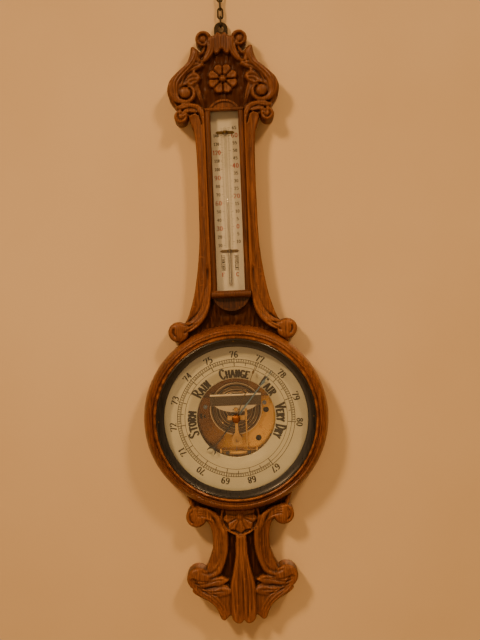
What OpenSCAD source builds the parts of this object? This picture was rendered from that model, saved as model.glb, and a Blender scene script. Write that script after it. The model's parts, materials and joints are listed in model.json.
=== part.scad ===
// Aneroid barometer with a thermometer, on a carved oak board that hangs by a chain.
// Millimetres. X to the right, Z up, the front faces -Y, and the wall is the plane y = 0.
// The origin is on the dial's axis, in the plane of the wall.
// "Depth" is the distance in front of the wall, so a depth d lies at y = -d.

/* [Dial] */
// Radius of the visible white dial
dial_r = 98; // [97:0.5:99]
// Radius of the opening in the middle of the dial
dial_hole_r = 54; // [53.5:0.1:54.5]
// Radius of the oak ring
ring_r = 127; // [125:0.5:130]
// Radius of the groove turned in the oak ring
groove_r = 113.4; // [113:0.2:115]

/* [Board] */
// Thickness of the board at its lowered ground
ground_depth = 24; // [24:0.5:25]
// Height of the carving above the ground
relief = 8; // [5:0.5:9]
// Radius of the rosette in the crest
crest_rosette_r = 20.4; // [18:0.2:21]
// Radius of the half rosette in the tail
tail_rosette_r = 27; // [24:0.5:28]

/* [Thermometer] */
// Half of the width of the glazed opening
sight_half = 19; // [18.5:0.1:19.5]
// Lower end of the glazed opening
sight_bottom = 175; // [172:1:178]
// Upper end of the glazed opening
sight_top = 422; // [420:1:424]
// Width of a frame moulding
stile_w = 7.5; // [7:0.1:8]
// Temperature shown, in degrees Celsius
temperature = 19; // [0:1:45]

/* [Movement] */
// Radius of the capsule
capsule_r = 36; // [34:0.5:36]
// Height of the capsule's centre above the pointer's arbor
capsule_z = 11.5; // [11:0.1:12]
// Radius of the movement plate
plate_r = 60; // [59:0.5:62]
// Radius of the drum that the fusee chain winds on
drum_r = 0.9; // [0.8:0.05:1]
// Length of the arm that pulls the fusee chain
chain_arm = 6.8; // [6.5:0.1:7]

/* [Hands] */
// Length of the pointer from its arbor
pointer_len = 82; // [78:0.5:84]
// Direction of the pointer, in degrees clockwise from the top
pointer_angle = 39.1; // [-90:0.1:90]
// Length of the set hand
set_hand_len = 83; // [78:0.5:84]
// Direction of the set hand, in degrees clockwise from the top
set_hand_angle = 22.4; // [-90:0.1:90]

/* [Chain] */
// Outer length of a link
link_len = 17; // [16:0.5:18]
// Outer width of a link
link_w = 9; // [8.5:0.5:9.5]
// Radius of the wire
wire_r = 1.25; // [1:0.05:1.3]

/* [Hidden] */
$fn = 96;

fit_gap = 0.05; // radial clearance of a running fit

// depths, from the wall forwards
cover_t = 1.5;
housing_back = 2;
sheet_t = 1;
plate_back = 7;
plate_t = 2;
plate_front = plate_back + plate_t;
capsule_back = 11;
capsule_seam = 16.5;
capsule_front = 22;
bridge_back = 23;
bridge_front = 26.5;
spring_t = 1.2;
spring_front = 31.5;
dial_back = 30;
dial_face = 33;
pointer_back = 36;
set_hand_back = 38.2;
glass_back = 40;
glass_t = 3;
glass_front = glass_back + glass_t;
ring_front = 50;

// radii around the dial
board_bore_r = 86;
board_disc_r = ring_r - 4;
cover_r = 92;
glass_r = dial_r + 10;
sight_r = dial_r + 11;
dial_edge_r = dial_r + 7;
surround_bore_r = dial_edge_r + 0.3;

// thermometer
pocket_depth = 15;
scale_t = 2.5;
scale_front = pocket_depth + scale_t;
tube_r = 2.4;
tube_depth = scale_front + tube_r + 0.1;
tube_top = 402;
bulb_top = 228.5;
bulb_bottom = 181.6;
zero_celsius = 264;
mm_per_celsius = 2.107;
clip_heights = [230, 394.4];
clip_t = 0.6;
clip_half = 13.5;
clip_h = 4.2;

// movement
rocker_depth = 20;
rocker_z = -46;
crank = 5;
lever_x = 13.6;
lever_depth = 29;
hinge_pin_r = 0.4;
foot_screws = [[-42, 16.4], [39.5, 19.3]];
pillar_angles = [90, 210, 330];
pillar_ring = 56;

// chain, from the hanger plate's hole upwards
link_gap = 0.1;
link_pitch = link_len - 4 * wire_r - link_gap;
hanger_hole_z = 541.5;
hanger_foot_z = 490;
hanger_half = 9.5;
hanger_hole_r = 4.2;
chain_depth = 5;
hole_gap = 0.3;
first_link_z = hanger_hole_z + hanger_hole_r - wire_r - hole_gap + link_len / 2 - wire_r;
hook_arm_r = 1.5;
hook_z = first_link_z + 3 * link_pitch + link_len / 2 - 2 * wire_r - hook_arm_r - link_gap;

// ---- helpers ----

// A point moved along a smooth curve between b and c, with a and d as their neighbours
function blend(a, b, c, d, t) =
    0.5 * (2 * b + (c - a) * t + (2 * a - 5 * b + 4 * c - d) * t * t
    + (3 * b - a - 3 * c + d) * t * t * t);

// A smooth open curve through the points
function curve_through(p, steps) =
    let (last = len(p) - 1)
    concat([for (i = [0 : last - 1], s = [0 : steps - 1])
        blend(p[max(i - 1, 0)], p[i], p[i + 1], p[min(i + 2, last)], s / steps)], [p[last]]);

function polar(r, a) = [r * cos(a), r * sin(a)];

// A flat shape drawn in X and Z, standing parallel to the wall
module at_depth(depth, thickness) {
    translate([0, -depth, 0]) rotate([90, 0, 0]) linear_extrude(thickness) children();
}

// A profile drawn in radius and depth, turned about an axis that points at the viewer
module turned(x = 0, z = 0) {
    translate([x, 0, z]) rotate([90, 0, 0]) rotate_extrude() children();
}

// A section drawn in X and depth, running upwards
module upright(z, height) {
    translate([0, 0, z]) linear_extrude(height) mirror([0, 1]) children();
}

// A section drawn in depth and Z, running to the right
module crosswise(x, length) {
    translate([x, 0, 0]) rotate([90, 0, 90]) linear_extrude(length) mirror([1, 0]) children();
}

module rod_forward(x, z, depth, length, r) {
    at_depth(depth, length) translate([x, z]) circle(r);
}

module rod_across(x, depth, z, length, r) {
    translate([x, -depth, z]) rotate([0, 90, 0]) cylinder(h = length, r = r);
}

module both_sides() {
    children();
    mirror([1, 0]) children();
}

// A round-headed screw that faces forwards: its shank starts at depth and its head follows it
module screw(x, z, depth, shank, r, head_r, head_t) {
    difference() {
        union() {
            rod_forward(x, z, depth, shank, r);
            rod_forward(x, z, depth + shank, head_t, head_r);
        }
        at_depth(depth + shank + head_t - 0.6, 1)
            translate([x - head_r, z - 0.3]) square([2 * head_r, 0.6]);
    }
}

// A screw driven from behind: its head is nearest to the wall
module screw_from_back(x, z, depth, head_t, head_r, shank, r) {
    difference() {
        union() {
            rod_forward(x, z, depth, head_t, head_r);
            rod_forward(x, z, depth + head_t, shank, r);
        }
        at_depth(depth - 0.1, 0.7) translate([x - head_r, z - 0.4]) square([2 * head_r, 0.8]);
    }
}

// ---- the carved board ----

crest_edge = [[0, 528.5], [4.6, 531.2], [10, 526.5], [20, 522], [28.6, 504.8], [33, 507.5],
    [38.2, 511.5], [42, 511], [44, 500.4], [49.5, 488.9], [60.5, 479.2], [71, 469], [76.1, 459.6],
    [76.9, 450.8], [74.5, 442], [69.8, 434.3], [63, 425], [54, 414], [49.5, 416.6], [46, 405]];
neck_edge = [[46, 405], [42.9, 397.1], [40.4, 371.9], [39.8, 337.6], [40, 291.8],
    [40.9, 245.9], [44.1, 211.7], [49.7, 177.3], [55.5, 155.5], [62.4, 137.2], [72, 124], [76, 100]];
tail_edge = [[74, -100], [62, -134], [47, -141], [40, -154.6], [39, -174.3], [41.2, -186.7],
    [50.2, -207.3], [62, -218], [69.6, -235.9], [61, -243.6], [50, -250.2], [41.4, -256.6],
    [36.1, -264.1], [31.1, -276.1], [26.1, -277.9], [18, -272], [15.8, -277.4], [12, -281.2],
    [7.5, -283.2], [3.5, -282], [0, -278]];
// centre X, centre Z and radius of the round ends of the scrolls
scroll_ends = [[24.5, 522.3, 11], [59.5, 416.3, 9.5], [74.8, 120.4, 14], [60.2, -134.8, 14.3],
    [61, -219.6, 15.6]];
scroll_eyes = [[24.5, 522.3, 4], [51.2, 448.1, 6.5], [60.5, 415.5, 3.6], [75, 120.4, 5],
    [60.5, -134.8, 5], [60, -220, 6]];

module half_outline(edge) {
    polygon(concat([[-1, edge[0][1]]], curve_through(edge, 4), [[-1, edge[len(edge) - 1][1]]]));
}

module board_outline() {
    both_sides() {
        half_outline(crest_edge);
        half_outline(neck_edge);
        half_outline(tail_edge);
        for (end = scroll_ends)
            translate([end[0], end[1]]) circle(end[2]);
    }
    circle(board_disc_r);
}

// Lowered areas between the carved scrolls
module lowered_grounds() {
    both_sides() {
        polygon(concat([[-1, 498]], curve_through([[12, 498], [20, 494], [30, 484], [38, 470],
            [34, 452], [27, 440], [27, 428]], 4), [[-1, 428]]));
        polygon([[-1, 176], [28, 176], [30, 165], [42, 140], [58, 120], [58, 100], [-1, 100]]);
        polygon(concat([[8, -160]], curve_through([[27, -150], [30, -165], [27, -190],
            [25, -215], [22, -250]], 4), [[10, -262], [8, -230]]));
    }
    circle(board_disc_r + 4.3);
}

// Hollow channels that run down the neck and the tail, drawn on the right
module channels() {
    both_sides() {
        polygon(concat(curve_through([[39, 396], [36.8, 372], [36.2, 338], [36.4, 292],
            [37.4, 246], [41, 211], [46, 180], [51.5, 158]], 4), curve_through([[43, 158],
            [38.5, 180], [33.5, 211], [31.4, 246], [31, 292], [31, 338], [31, 372], [32, 396]], 4)));
        polygon(concat(curve_through([[43.5, -150], [36.5, -165], [36, -180], [40, -200]], 4),
            curve_through([[34, -200], [31.5, -180], [32.5, -165], [37, -150]], 4)));
    }
}

module dome(x, z, depth, r, rise) {
    big = (r * r + rise * rise) / (2 * rise);
    turned(x, z) intersection() {
        translate([0, depth + rise - big]) circle(big);
        translate([0, depth]) square([r, rise]);
    }
}

module rosette_petals(x, z, r, count, depth) {
    for (i = [0 : count - 1]) {
        at = polar(0.62 * r, i * 360 / count);
        dome(x + at[0], z + at[1], depth, 0.27 * r, 2.5);
    }
}

module board_relief() {
    top = ground_depth + relief;
    at_depth(ground_depth, relief) difference() {
        board_outline();
        lowered_grounds();
        channels();
        translate([-sight_half - stile_w, sight_bottom - 12]) square([2 * (sight_half + stile_w), 276]);
    }
    for (side = [-1, 1], eye = scroll_eyes)
        dome(side * eye[0], eye[1], top, eye[2], 2);
    rod_forward(0, 466.7, ground_depth, 2, crest_rosette_r);
    rosette_petals(0, 466.7, crest_rosette_r, 8, ground_depth + 2);
    dome(0, 466.7, ground_depth + 2, 5, 4);
    for (x = [-7.5, 0, 7.5])
        crosswise(x - 1.5, 3) polygon([[ground_depth, 500], [top, 504], [top, 522], [ground_depth, 526]]);
    for (x = [-6, 0, 6])
        crosswise(x - 1.5, 3)
            polygon([[ground_depth, -168], [top, -172], [top, -272], [ground_depth, -277]]);
    at_depth(ground_depth, 4) difference() {
        translate([0, -135.5]) circle(tail_rosette_r);
        circle(ring_r + 0.3);
    }
}

module backboard() {
    color("peru") difference() {
        union() {
            at_depth(0, ground_depth) board_outline();
            board_relief();
        }
        rod_forward(0, 0, -1, ground_depth + 2, board_bore_r);
        rod_forward(0, 0, -1, 1 + cover_t + 0.1, cover_r + 0.3);
        at_depth(pocket_depth, ground_depth)
            translate([-20.5, sight_bottom - 3]) square([41, sight_top - sight_bottom + 5]);
        at_depth(-1, 7) translate([-11, hanger_foot_z - 2]) square([22, 60]);
        for (at = surround_screw_places()) {
            rod_forward(at[0], at[1], -1, ground_depth + 2, 2);
            rod_forward(at[0], at[1], -1, 5, 4.3);
        }
        for (at = cover_screw_places())
            rod_forward(at[0], at[1], 0, 10, 1.1);
        for (at = housing_screw_places())
            rod_forward(at[0], at[1], 14, ground_depth, 1.5);
        for (at = hanger_screw_places())
            rod_forward(at[0], at[1], 0, 16, 1.5);
        for (at = clip_pin_places())
            rod_forward(at[0], at[1], 10, 10, 0.7);
    }
}

// ---- the oak ring, the glass and the dial ----

function around(r, angles) = [for (a = angles) polar(r, a)];
function surround_screw_places() = around(115, [45, 135, 225, 315]);
function cover_screw_places() = around(89, [20, 110, 200, 290]);
function housing_screw_places() = around(92.5, [30, 150, 270]);
function sight_pin_places() = around(dial_r + 7.5, [0, 90, 180, 270]);

module dial_surround() {
    roll = curve_through([[ring_r, ground_depth + 3], [ring_r - 0.8, 34], [ring_r - 3.6, 41],
        [groove_r + 6.2, 44.9], [groove_r + 4, 44.4], [groove_r + 2.4, 46], [groove_r + 1.1, 45.4],
        [groove_r, 44], [groove_r - 1, 47], [groove_r - 2.4, ring_front],
        [groove_r - 3.8, 49.4]], 5);
    color("sienna") difference() {
        turned() polygon(concat([[surround_bore_r, ground_depth], [ring_r, ground_depth]], roll,
            [[sight_r, 48.6], [sight_r, glass_front], [glass_r + 0.2, glass_front],
            [glass_r + 0.2, glass_back], [surround_bore_r, glass_back]]));
        for (at = surround_screw_places())
            rod_forward(at[0], at[1], ground_depth - 1, 16, 2);
    }
}

module surround_screws() {
    color("dimgray") for (at = surround_screw_places())
        screw_from_back(at[0], at[1], 1, 3, 4, 35, 2);
}

module sight_ring() {
    slope = curve_through([[sight_r - 0.2, 48.2], [sight_r - 1.6, 48.7], [dial_r + 8, 47.2],
        [dial_r + 4, 45.6], [dial_r + 0.6, 44.8], [dial_r, 44.3]], 5);
    color("black") difference() {
        turned() polygon(concat([[dial_r, glass_front], [sight_r - 0.2, glass_front]], slope));
        for (at = sight_pin_places()) {
            rod_forward(at[0], at[1], glass_front - 1, 10, 0.5);
            rod_forward(at[0], at[1], glass_front + 4, 10, 1);
        }
    }
}

module sight_ring_pins() {
    color("gold") for (at = sight_pin_places()) {
        rod_forward(at[0], at[1], glass_front, 4, 0.5);
        rod_forward(at[0], at[1], glass_front + 4, 0.5, 1);
    }
}

module dial_glass() {
    color("lightcyan", 0.3) difference() {
        rod_forward(0, 0, glass_back, glass_t, glass_r);
        rod_forward(0, 0, glass_back - 1, glass_t + 2, 2.5);
    }
}

module glass_bush() {
    color("gold") difference() {
        union() {
            rod_forward(0, 0, glass_back - 0.6, 0.6, 4);
            rod_forward(0, 0, glass_back, glass_t, 2.45);
        }
        rod_forward(0, 0, glass_back - 2, glass_t + 4, 1.9 + fit_gap);
    }
}

module dial_ring() {
    bevel = [[dial_hole_r, 27], [dial_hole_r, 27.6], [dial_hole_r + 1, 28.4],
        [dial_hole_r + 10, 32], [dial_hole_r + 13, 32.8], [dial_hole_r + 17, dial_face]];
    color("ivory") turned()
        polygon(concat([[dial_hole_r + 14, dial_back]], bevel, [[dial_edge_r, dial_face],
            [dial_edge_r, dial_back]]));
}

module dial_spacer_ring() {
    color("black") at_depth(dial_face, glass_back - dial_face) difference() {
        circle(dial_edge_r);
        circle(dial_edge_r - 3);
    }
}

module dial_backing_ring() {
    color("burlywood") at_depth(ground_depth + sheet_t, dial_back - ground_depth - sheet_t)
        difference() {
            circle(dial_edge_r - 1);
            circle(dial_edge_r - 8);
        }
}

module movement_housing() {
    can_r = board_bore_r - 0.5;
    color("lightgray") difference() {
        union() {
            rod_forward(0, 0, housing_back, ground_depth - housing_back, can_r);
            rod_forward(0, 0, ground_depth, sheet_t, dial_edge_r - 5);
        }
        rod_forward(0, 0, housing_back + sheet_t, 40, can_r - sheet_t);
        rod_forward(0, capsule_z, 0, 10, 5);
        for (at = housing_screw_places())
            rod_forward(at[0], at[1], ground_depth - 1, 4, 1.5);
    }
}

module housing_screws() {
    color("dimgray") for (at = housing_screw_places())
        screw(at[0], at[1], ground_depth - 9, 10, 1.5, 3, 1.6);
}

module back_cover() {
    color("burlywood") difference() {
        rod_forward(0, 0, 0, cover_t, cover_r);
        rod_forward(0, capsule_z, -1, 4, 5);
        for (at = cover_screw_places())
            turned(at[0], at[1]) polygon([[0, -1], [2.3, -1], [2.3, 0], [1.1, 1.2], [1.1, 3], [0, 3]]);
    }
}

module back_cover_screws() {
    color("dimgray") for (at = cover_screw_places())
        turned(at[0], at[1]) polygon([[0, 0], [2.3, 0], [1.1, 1.2], [1.1, 9], [0, 10]]);
}

// ---- the thermometer ----

// Section of a frame moulding: flat at the back, round at the front
module moulding(width, height) {
    translate([0, ground_depth]) square([width, height - width / 2]);
    translate([width / 2, ground_depth + height - width / 2]) circle(width / 2);
}

module stile(side) {
    color("peru") difference() {
        upright(sight_bottom, sight_top - sight_bottom)
            translate([side > 0 ? sight_half : -sight_half - stile_w, 0]) moulding(stile_w, 9);
        glass_rebate();
    }
}

module glass_rebate() {
    at_depth(ground_depth - 0.1, 1.8)
        translate([-sight_half - 3.2, sight_bottom - 2.2])
            square([2 * sight_half + 6.4, sight_top - sight_bottom + 4.4]);
}

module frame_stile_left() {
    stile(-1);
}

module frame_stile_right() {
    stile(1);
}

module frame_rail_top() {
    rail_w = 4.8;
    color("peru") difference() {
        crosswise(-sight_half - stile_w, 2 * (sight_half + stile_w)) union() {
            translate([ground_depth, sight_top]) square([5.6, rail_w]);
            translate([ground_depth + 5.6, sight_top + rail_w / 2]) circle(rail_w / 2);
        }
        glass_rebate();
    }
}

module frame_sill() {
    color("peru") difference() {
        crosswise(-sight_half - 8, 2 * sight_half + 16) union() {
            translate([ground_depth, sight_bottom - 10]) square([9, 10]);
            translate([ground_depth + 9, sight_bottom - 5]) circle(5);
        }
        glass_rebate();
    }
}

// A round segment over a chord of the given half length
module segment(half, rise) {
    r = (half * half + rise * rise) / (2 * rise);
    intersection() {
        translate([0, rise - r]) circle(r);
        translate([-half, 0]) square([2 * half, rise]);
    }
}

module frame_lunette() {
    color("peru") translate([0, 0, sight_top + 4.8]) {
        at_depth(ground_depth, 5) segment(20.4, 11.4);
        at_depth(ground_depth + 5, 2) difference() {
            segment(20.4, 11.4);
            segment(17.4, 8.6);
        }
    }
}

module frame_apron() {
    color("peru") translate([0, 0, sight_bottom - 10]) mirror([0, 0, 1]) {
        at_depth(ground_depth, 5) segment(25, 18);
        at_depth(ground_depth + 5, 2) difference() {
            segment(25, 18);
            segment(21.5, 14.6);
        }
    }
}

module thermometer_glass() {
    color("lightcyan", 0.3) at_depth(ground_depth, 1.5)
        translate([-sight_half - 3, sight_bottom - 2])
            square([2 * sight_half + 6, sight_top - sight_bottom + 4]);
}

module thermometer_plate() {
    color("white") difference() {
        at_depth(pocket_depth, scale_t) translate([-20.2, sight_bottom - 2.5])
            square([40.4, sight_top - sight_bottom + 4]);
        for (at = clip_pin_places())
            rod_forward(at[0], at[1], 10, 10, 0.7);
    }
}

module thermometer_tube() {
    bore_r = 0.7;
    color("lightcyan", 0.4) translate([0, -tube_depth, 0]) difference() {
        translate([0, 0, bulb_bottom]) cylinder(h = tube_top - bulb_bottom, r = tube_r);
        translate([0, 0, bulb_bottom + 1.5]) cylinder(h = bulb_top - bulb_bottom - 3, r = tube_r - 0.4);
        translate([0, 0, bulb_top - 2]) cylinder(h = tube_top - bulb_top - 2, r = bore_r);
    }
}

module mercury_column() {
    top = zero_celsius + temperature * mm_per_celsius;
    color("gray") translate([0, -tube_depth, 0]) {
        translate([0, 0, bulb_bottom + 1.5]) cylinder(h = bulb_top - bulb_bottom - 3, r = tube_r - 0.4);
        translate([0, 0, bulb_top - 1.5]) cylinder(h = top - bulb_top + 1.5, r = 0.7);
    }
}

function clip_pin_places() = [for (z = clip_heights, side = [-1, 1]) [side * 9.5, z]];

// Section of a clip: a flat strap with an arch over the tube
module clip_section() {
    inner_r = tube_r + 0.1;
    outer_r = inner_r + clip_t;
    difference() {
        union() {
            translate([-clip_half, scale_front]) square([2 * clip_half, clip_t]);
            translate([-outer_r, scale_front]) square([2 * outer_r, tube_depth - scale_front]);
            translate([0, tube_depth]) circle(outer_r);
        }
        translate([-inner_r, scale_front - 1]) square([2 * inner_r, tube_depth - scale_front + 1]);
        translate([0, tube_depth]) circle(inner_r);
    }
}

module thermometer_clips() {
    point = 3;
    color("gold") difference() {
        for (z = clip_heights)
            intersection() {
                upright(z - clip_h, 2 * clip_h) clip_section();
                at_depth(scale_front - 1, 12) translate([0, z])
                    polygon([for (side = [-1, 1]) each side * [[-clip_half, 0],
                        [point - clip_half, -clip_h / 2], [clip_half - point, -clip_h / 2]]]);
            }
        for (at = clip_pin_places())
            rod_forward(at[0], at[1], 10, 10, 0.7);
    }
}

module clip_pins() {
    color("gold") for (at = clip_pin_places()) {
        rod_forward(at[0], at[1], 12, scale_front + clip_t - 12, 0.7);
        dome(at[0], at[1], scale_front + clip_t, 1.2, 0.6);
    }
}

// ---- hanger plate, chain and wall hook ----

function hanger_screw_places() = [[-5.5, 497], [5.5, 497], [0, 515]];

module hanger_plate() {
    color("dimgray") difference() {
        union() {
            at_depth(4, 2) translate([-hanger_half, hanger_foot_z])
                square([2 * hanger_half, hanger_hole_z - hanger_foot_z]);
            rod_forward(0, hanger_hole_z, 4, 2, hanger_half);
        }
        rod_forward(0, hanger_hole_z, 3, 4, hanger_hole_r);
        for (at = hanger_screw_places())
            rod_forward(at[0], at[1], 3, 4, 1.5);
    }
}

module hanger_screws() {
    color("dimgray") for (at = hanger_screw_places())
        screw_from_back(at[0], at[1], 2.4, 1.6, 3, 11, 1.5);
}

// One link, drawn in X and Z about its own centre
module link() {
    bend = link_w / 2 - wire_r;
    straight = link_len / 2 - link_w / 2;
    for (side = [-1, 1]) {
        translate([side * bend, 0, -straight]) cylinder(h = 2 * straight, r = wire_r);
        translate([0, 0, side * straight]) rotate([side * 90, 0, 0])
            rotate_extrude(angle = 180) translate([bend, 0]) circle(wire_r);
    }
}

module chain_link(index, turn) {
    color("dimgray") translate([0, -chain_depth, first_link_z + index * link_pitch])
        rotate([0, 0, turn]) link();
}

module chain_link_1() {
    chain_link(0, 90);
}

module chain_link_2() {
    chain_link(1, 0);
}

module chain_link_3() {
    chain_link(2, 90);
}

module chain_link_4() {
    chain_link(3, 0);
}

module wall_hook() {
    arm_end = 8.5;
    color("dimgray") difference() {
        union() {
            at_depth(0, 1.5) translate([-6, hook_z - 4]) square([12, 14]);
            rod_forward(0, hook_z + 10, 0, 1.5, 6);
            rod_forward(0, hook_z, 1.5, arm_end - 1.5, hook_arm_r);
            translate([0, -arm_end, hook_z]) sphere(hook_arm_r);
            translate([0, -arm_end, hook_z]) cylinder(h = 6, r = hook_arm_r);
            translate([0, -arm_end, hook_z + 6]) sphere(hook_arm_r);
        }
        rod_forward(0, hook_z + 10, -1, 4, 1.6);
    }
}

// ---- the movement ----

module movement_plate() {
    color("gold") difference() {
        rod_forward(0, 0, plate_back, plate_t, plate_r);
        rod_forward(0, capsule_z, 0, 20, 3 + fit_gap);
        for (at = [[-47, 2.5], [41.7, 8], [30, -31]])
            rod_forward(at[0], at[1], 0, 20, 4.1);
        for (at = concat(foot_screws, rocker_screw_places()))
            rod_forward(at[0], at[1], 0, 20, 1.5);
        for (at = around(pillar_ring, pillar_angles))
            rod_forward(at[0], at[1], 0, 20, 1.2);
    }
}

module plate_pillars() {
    back = housing_back + sheet_t;
    color("gold") for (at = around(pillar_ring, pillar_angles))
        difference() {
            rod_forward(at[0], at[1], back, plate_back - back, 3);
            rod_forward(at[0], at[1], back + 0.5, 10, 1.2);
        }
}

module plate_screws() {
    color("dimgray") for (at = around(pillar_ring, pillar_angles))
        screw(at[0], at[1], plate_back - 3, 5, 1.2, 2.6, 1.4);
}

// Depth of a diaphragm above the flat of its rim, as a function of the radius
function dish(r) =
    r > capsule_r - 2.5 ? 0
    : r < 5 ? 1
    : min(1, (capsule_r - 2.5 - r) / 2.5) * (0.78 + 0.16 * cos((r - 5) * 360 / 4.4));

module diaphragm(side, reach) {
    gauge = 0.6;
    step = 0.8;
    radii = [for (r = [0 : step : capsule_r]) r];
    outer = [for (r = radii) [r, side * (gauge + (reach - gauge) * dish(r))]];
    inner = [for (i = [len(radii) - 1 : -1 : 0]) outer[i] - [0, side * gauge]];
    turned(0, capsule_z) translate([0, capsule_seam]) polygon(concat(outer, inner));
}

module capsule_rear_diaphragm() {
    color("silver") diaphragm(-1, capsule_seam - capsule_back);
}

module capsule_front_diaphragm() {
    color("silver") diaphragm(1, capsule_front - capsule_seam);
}

module adjusting_screw() {
    color("dimgray") difference() {
        rod_forward(0, capsule_z, 2.5, capsule_back - 2.5, 3);
        at_depth(2, 1.7) translate([-4, capsule_z - 0.5]) square([8, 1]);
    }
}

post_front = 33.8;
knife_depth = spring_front + 0.8;

module capsule_post() {
    color("gold") difference() {
        rod_forward(0, capsule_z, capsule_front, post_front - capsule_front, 2.5);
        rod_across(-5, knife_depth, capsule_z, 10, 0.8);
    }
}

module knife_edge_pin() {
    color("dimgray") rod_across(-4.5, knife_depth, capsule_z, 9, 0.8);
}

module bridge() {
    pad_inner = 36.6;
    pad_outer = 46;
    color("goldenrod") difference() {
        union() {
            at_depth(bridge_back, bridge_front - bridge_back)
                translate([-pad_outer, 18]) square([2 * pad_outer, 11]);
            at_depth(plate_front, bridge_front - plate_front) {
                translate([-pad_outer, 13]) square([pad_outer - pad_inner, 16]);
                translate([pad_inner, 13]) square([pad_outer - pad_inner, 16]);
            }
            at_depth(plate_front, 6) translate([-47, -3]) square([9, 17]);
            at_depth(plate_front, 3) polygon([[-44, -3], [-38, -3], [-37, -16], [-43, -16]]);
            rod_forward(-40, -15.7, plate_front, 5, 5.5);
        }
        for (at = foot_screws)
            rod_forward(at[0], at[1], 0, 40, 1.5);
        rod_forward(-40, -15.7, 0, 40, 1.8);
        rod_forward(-42.8, 2.5, 0, 40, 2.6);
        for (at = clamp_screw_places())
            rod_forward(at[0], at[1], 0, 40, 1);
    }
}

module bridge_screws() {
    color("steelblue") for (at = foot_screws)
        screw(at[0], at[1], 5, bridge_front - 5, 1.5, 2.9, 1.6);
}

function clamp_screw_places() = [[-22, 22.5], [22, 22.5]];

// A C-shaped leaf: clamped at the back, round at the top, boat-shaped below at the front
module mainspring() {
    half = 35;
    bend_z = 31;
    bend_r = (spring_front - bridge_front) / 2;
    middle = bridge_front + bend_r;
    color("silver") difference() {
        union() {
            at_depth(bridge_front, spring_t) translate([-half, 18]) square([2 * half, bend_z - 18]);
            crosswise(-half, 2 * half) intersection() {
                translate([middle, bend_z]) difference() {
                    circle(bend_r);
                    circle(bend_r - spring_t);
                }
                translate([bridge_front - 1, bend_z]) square([2 * bend_r + 2, bend_r]);
            }
            at_depth(spring_front - spring_t, spring_t) polygon([[-half, bend_z], [-half, 17],
                [-29, 17], [-24, 13.2], [-15, 9.8], [-6, 8], [6, 8], [15, 9.8], [24, 13.2],
                [29, 17], [half, 17], [half, bend_z]]);
        }
        rod_forward(0, capsule_z, 0, 40, 3);
        for (at = clamp_screw_places())
            rod_forward(at[0], at[1], 0, bridge_front + 2, 1);
        rod_forward(lever_x, 11, 20, 20, 0.8);
    }
}

module spring_clamp_screws() {
    color("dimgray") for (at = clamp_screw_places())
        screw(at[0], at[1], bridge_back, bridge_front + spring_t - bridge_back, 1, 2.4, 1.2);
}

// A block riveted to the spring, and a long rod down to the pin of the link
module main_lever() {
    tip_z = rocker_z + crank;
    root = [spring_front + 1.1, 5];
    tip = [lever_depth, tip_z];
    run = tip - root;
    side = 0.9 * [-run[1], run[0]] / norm(run);
    color("gold") {
        at_depth(spring_front, 2.2) translate([lever_x - 1.6, 2.5]) square([3.2, 10]);
        rod_forward(lever_x, 11, spring_front - spring_t, spring_t, 0.75);
        crosswise(lever_x - 0.9, 1.8)
            polygon([root + side, tip + side, tip - side, root - side]);
        rod_across(lever_x - 0.9, lever_depth, tip_z, 1.8, 1.3);
        rod_across(lever_x, lever_depth, tip_z, 3.2, hinge_pin_r);
    }
}

module lever_link() {
    front = lever_depth;
    back = rocker_depth;
    open_pivot_r = hinge_pin_r + 0.4;
    color("gold") difference() {
        crosswise(lever_x + 1.4, 0.8) translate([0, rocker_z + crank]) {
            translate([back, -1]) square([front - back, 2]);
            translate([front, 0]) circle(1.4);
            translate([back, 0]) circle(1.6);
        }
        rod_across(lever_x, front, rocker_z + crank, 5, hinge_pin_r + fit_gap);
        rod_across(lever_x, back, rocker_z + crank, 5, open_pivot_r);
    }
}

shaft_left = -21;
shaft_right = 25;

module rocker_shaft() {
    shaft_r = 1.3;
    chain_x = -drum_r - 0.2;
    color("gold") difference() {
        union() {
            rod_across(shaft_left, rocker_depth, rocker_z, shaft_right - shaft_left, shaft_r);
            crosswise(lever_x - 0.8, 1.6) {
                translate([rocker_depth - 1, rocker_z]) square([2, crank]);
                translate([rocker_depth, rocker_z + crank]) circle(1.3);
            }
            rod_across(lever_x, rocker_depth, rocker_z + crank, 3.2, hinge_pin_r);
            crosswise(chain_x - 0.8, 1.6) {
                translate([rocker_depth, rocker_z - 0.8]) square([chain_arm, 1.6]);
                translate([rocker_depth + chain_arm, rocker_z]) circle(0.8);
            }
        }
        for (x = [shaft_left - 1, shaft_right - 2])
            rod_across(x, rocker_depth, rocker_z, 3, 0.8 + fit_gap);
    }
}

function rocker_screw_places() = [[-14, -49.5], [16, -49.5]];

module rocker_frame() {
    ear_t = 1.5;
    gap = 1.2;
    color("goldenrod") difference() {
        union() {
            at_depth(plate_front, 2) translate([shaft_left - gap - ear_t, -53])
                square([shaft_right - shaft_left + 2 * (gap + ear_t), 7]);
            for (x = [shaft_left - gap - ear_t, shaft_right + gap])
                crosswise(x, ear_t) translate([plate_front, rocker_z - 3.5])
                    square([rocker_depth - plate_front + 3.5, 7]);
        }
        for (at = rocker_screw_places())
            rod_forward(at[0], at[1], 0, 20, 1.5);
        for (x = [shaft_left - 5, shaft_right - 1])
            rod_across(x, rocker_depth, rocker_z, 6, 0.8);
    }
}

module rocker_frame_screws() {
    color("dimgray") for (at = rocker_screw_places())
        screw(at[0], at[1], 5, plate_front + 2 - 5, 1.5, 2.8, 1.4);
}

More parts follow.
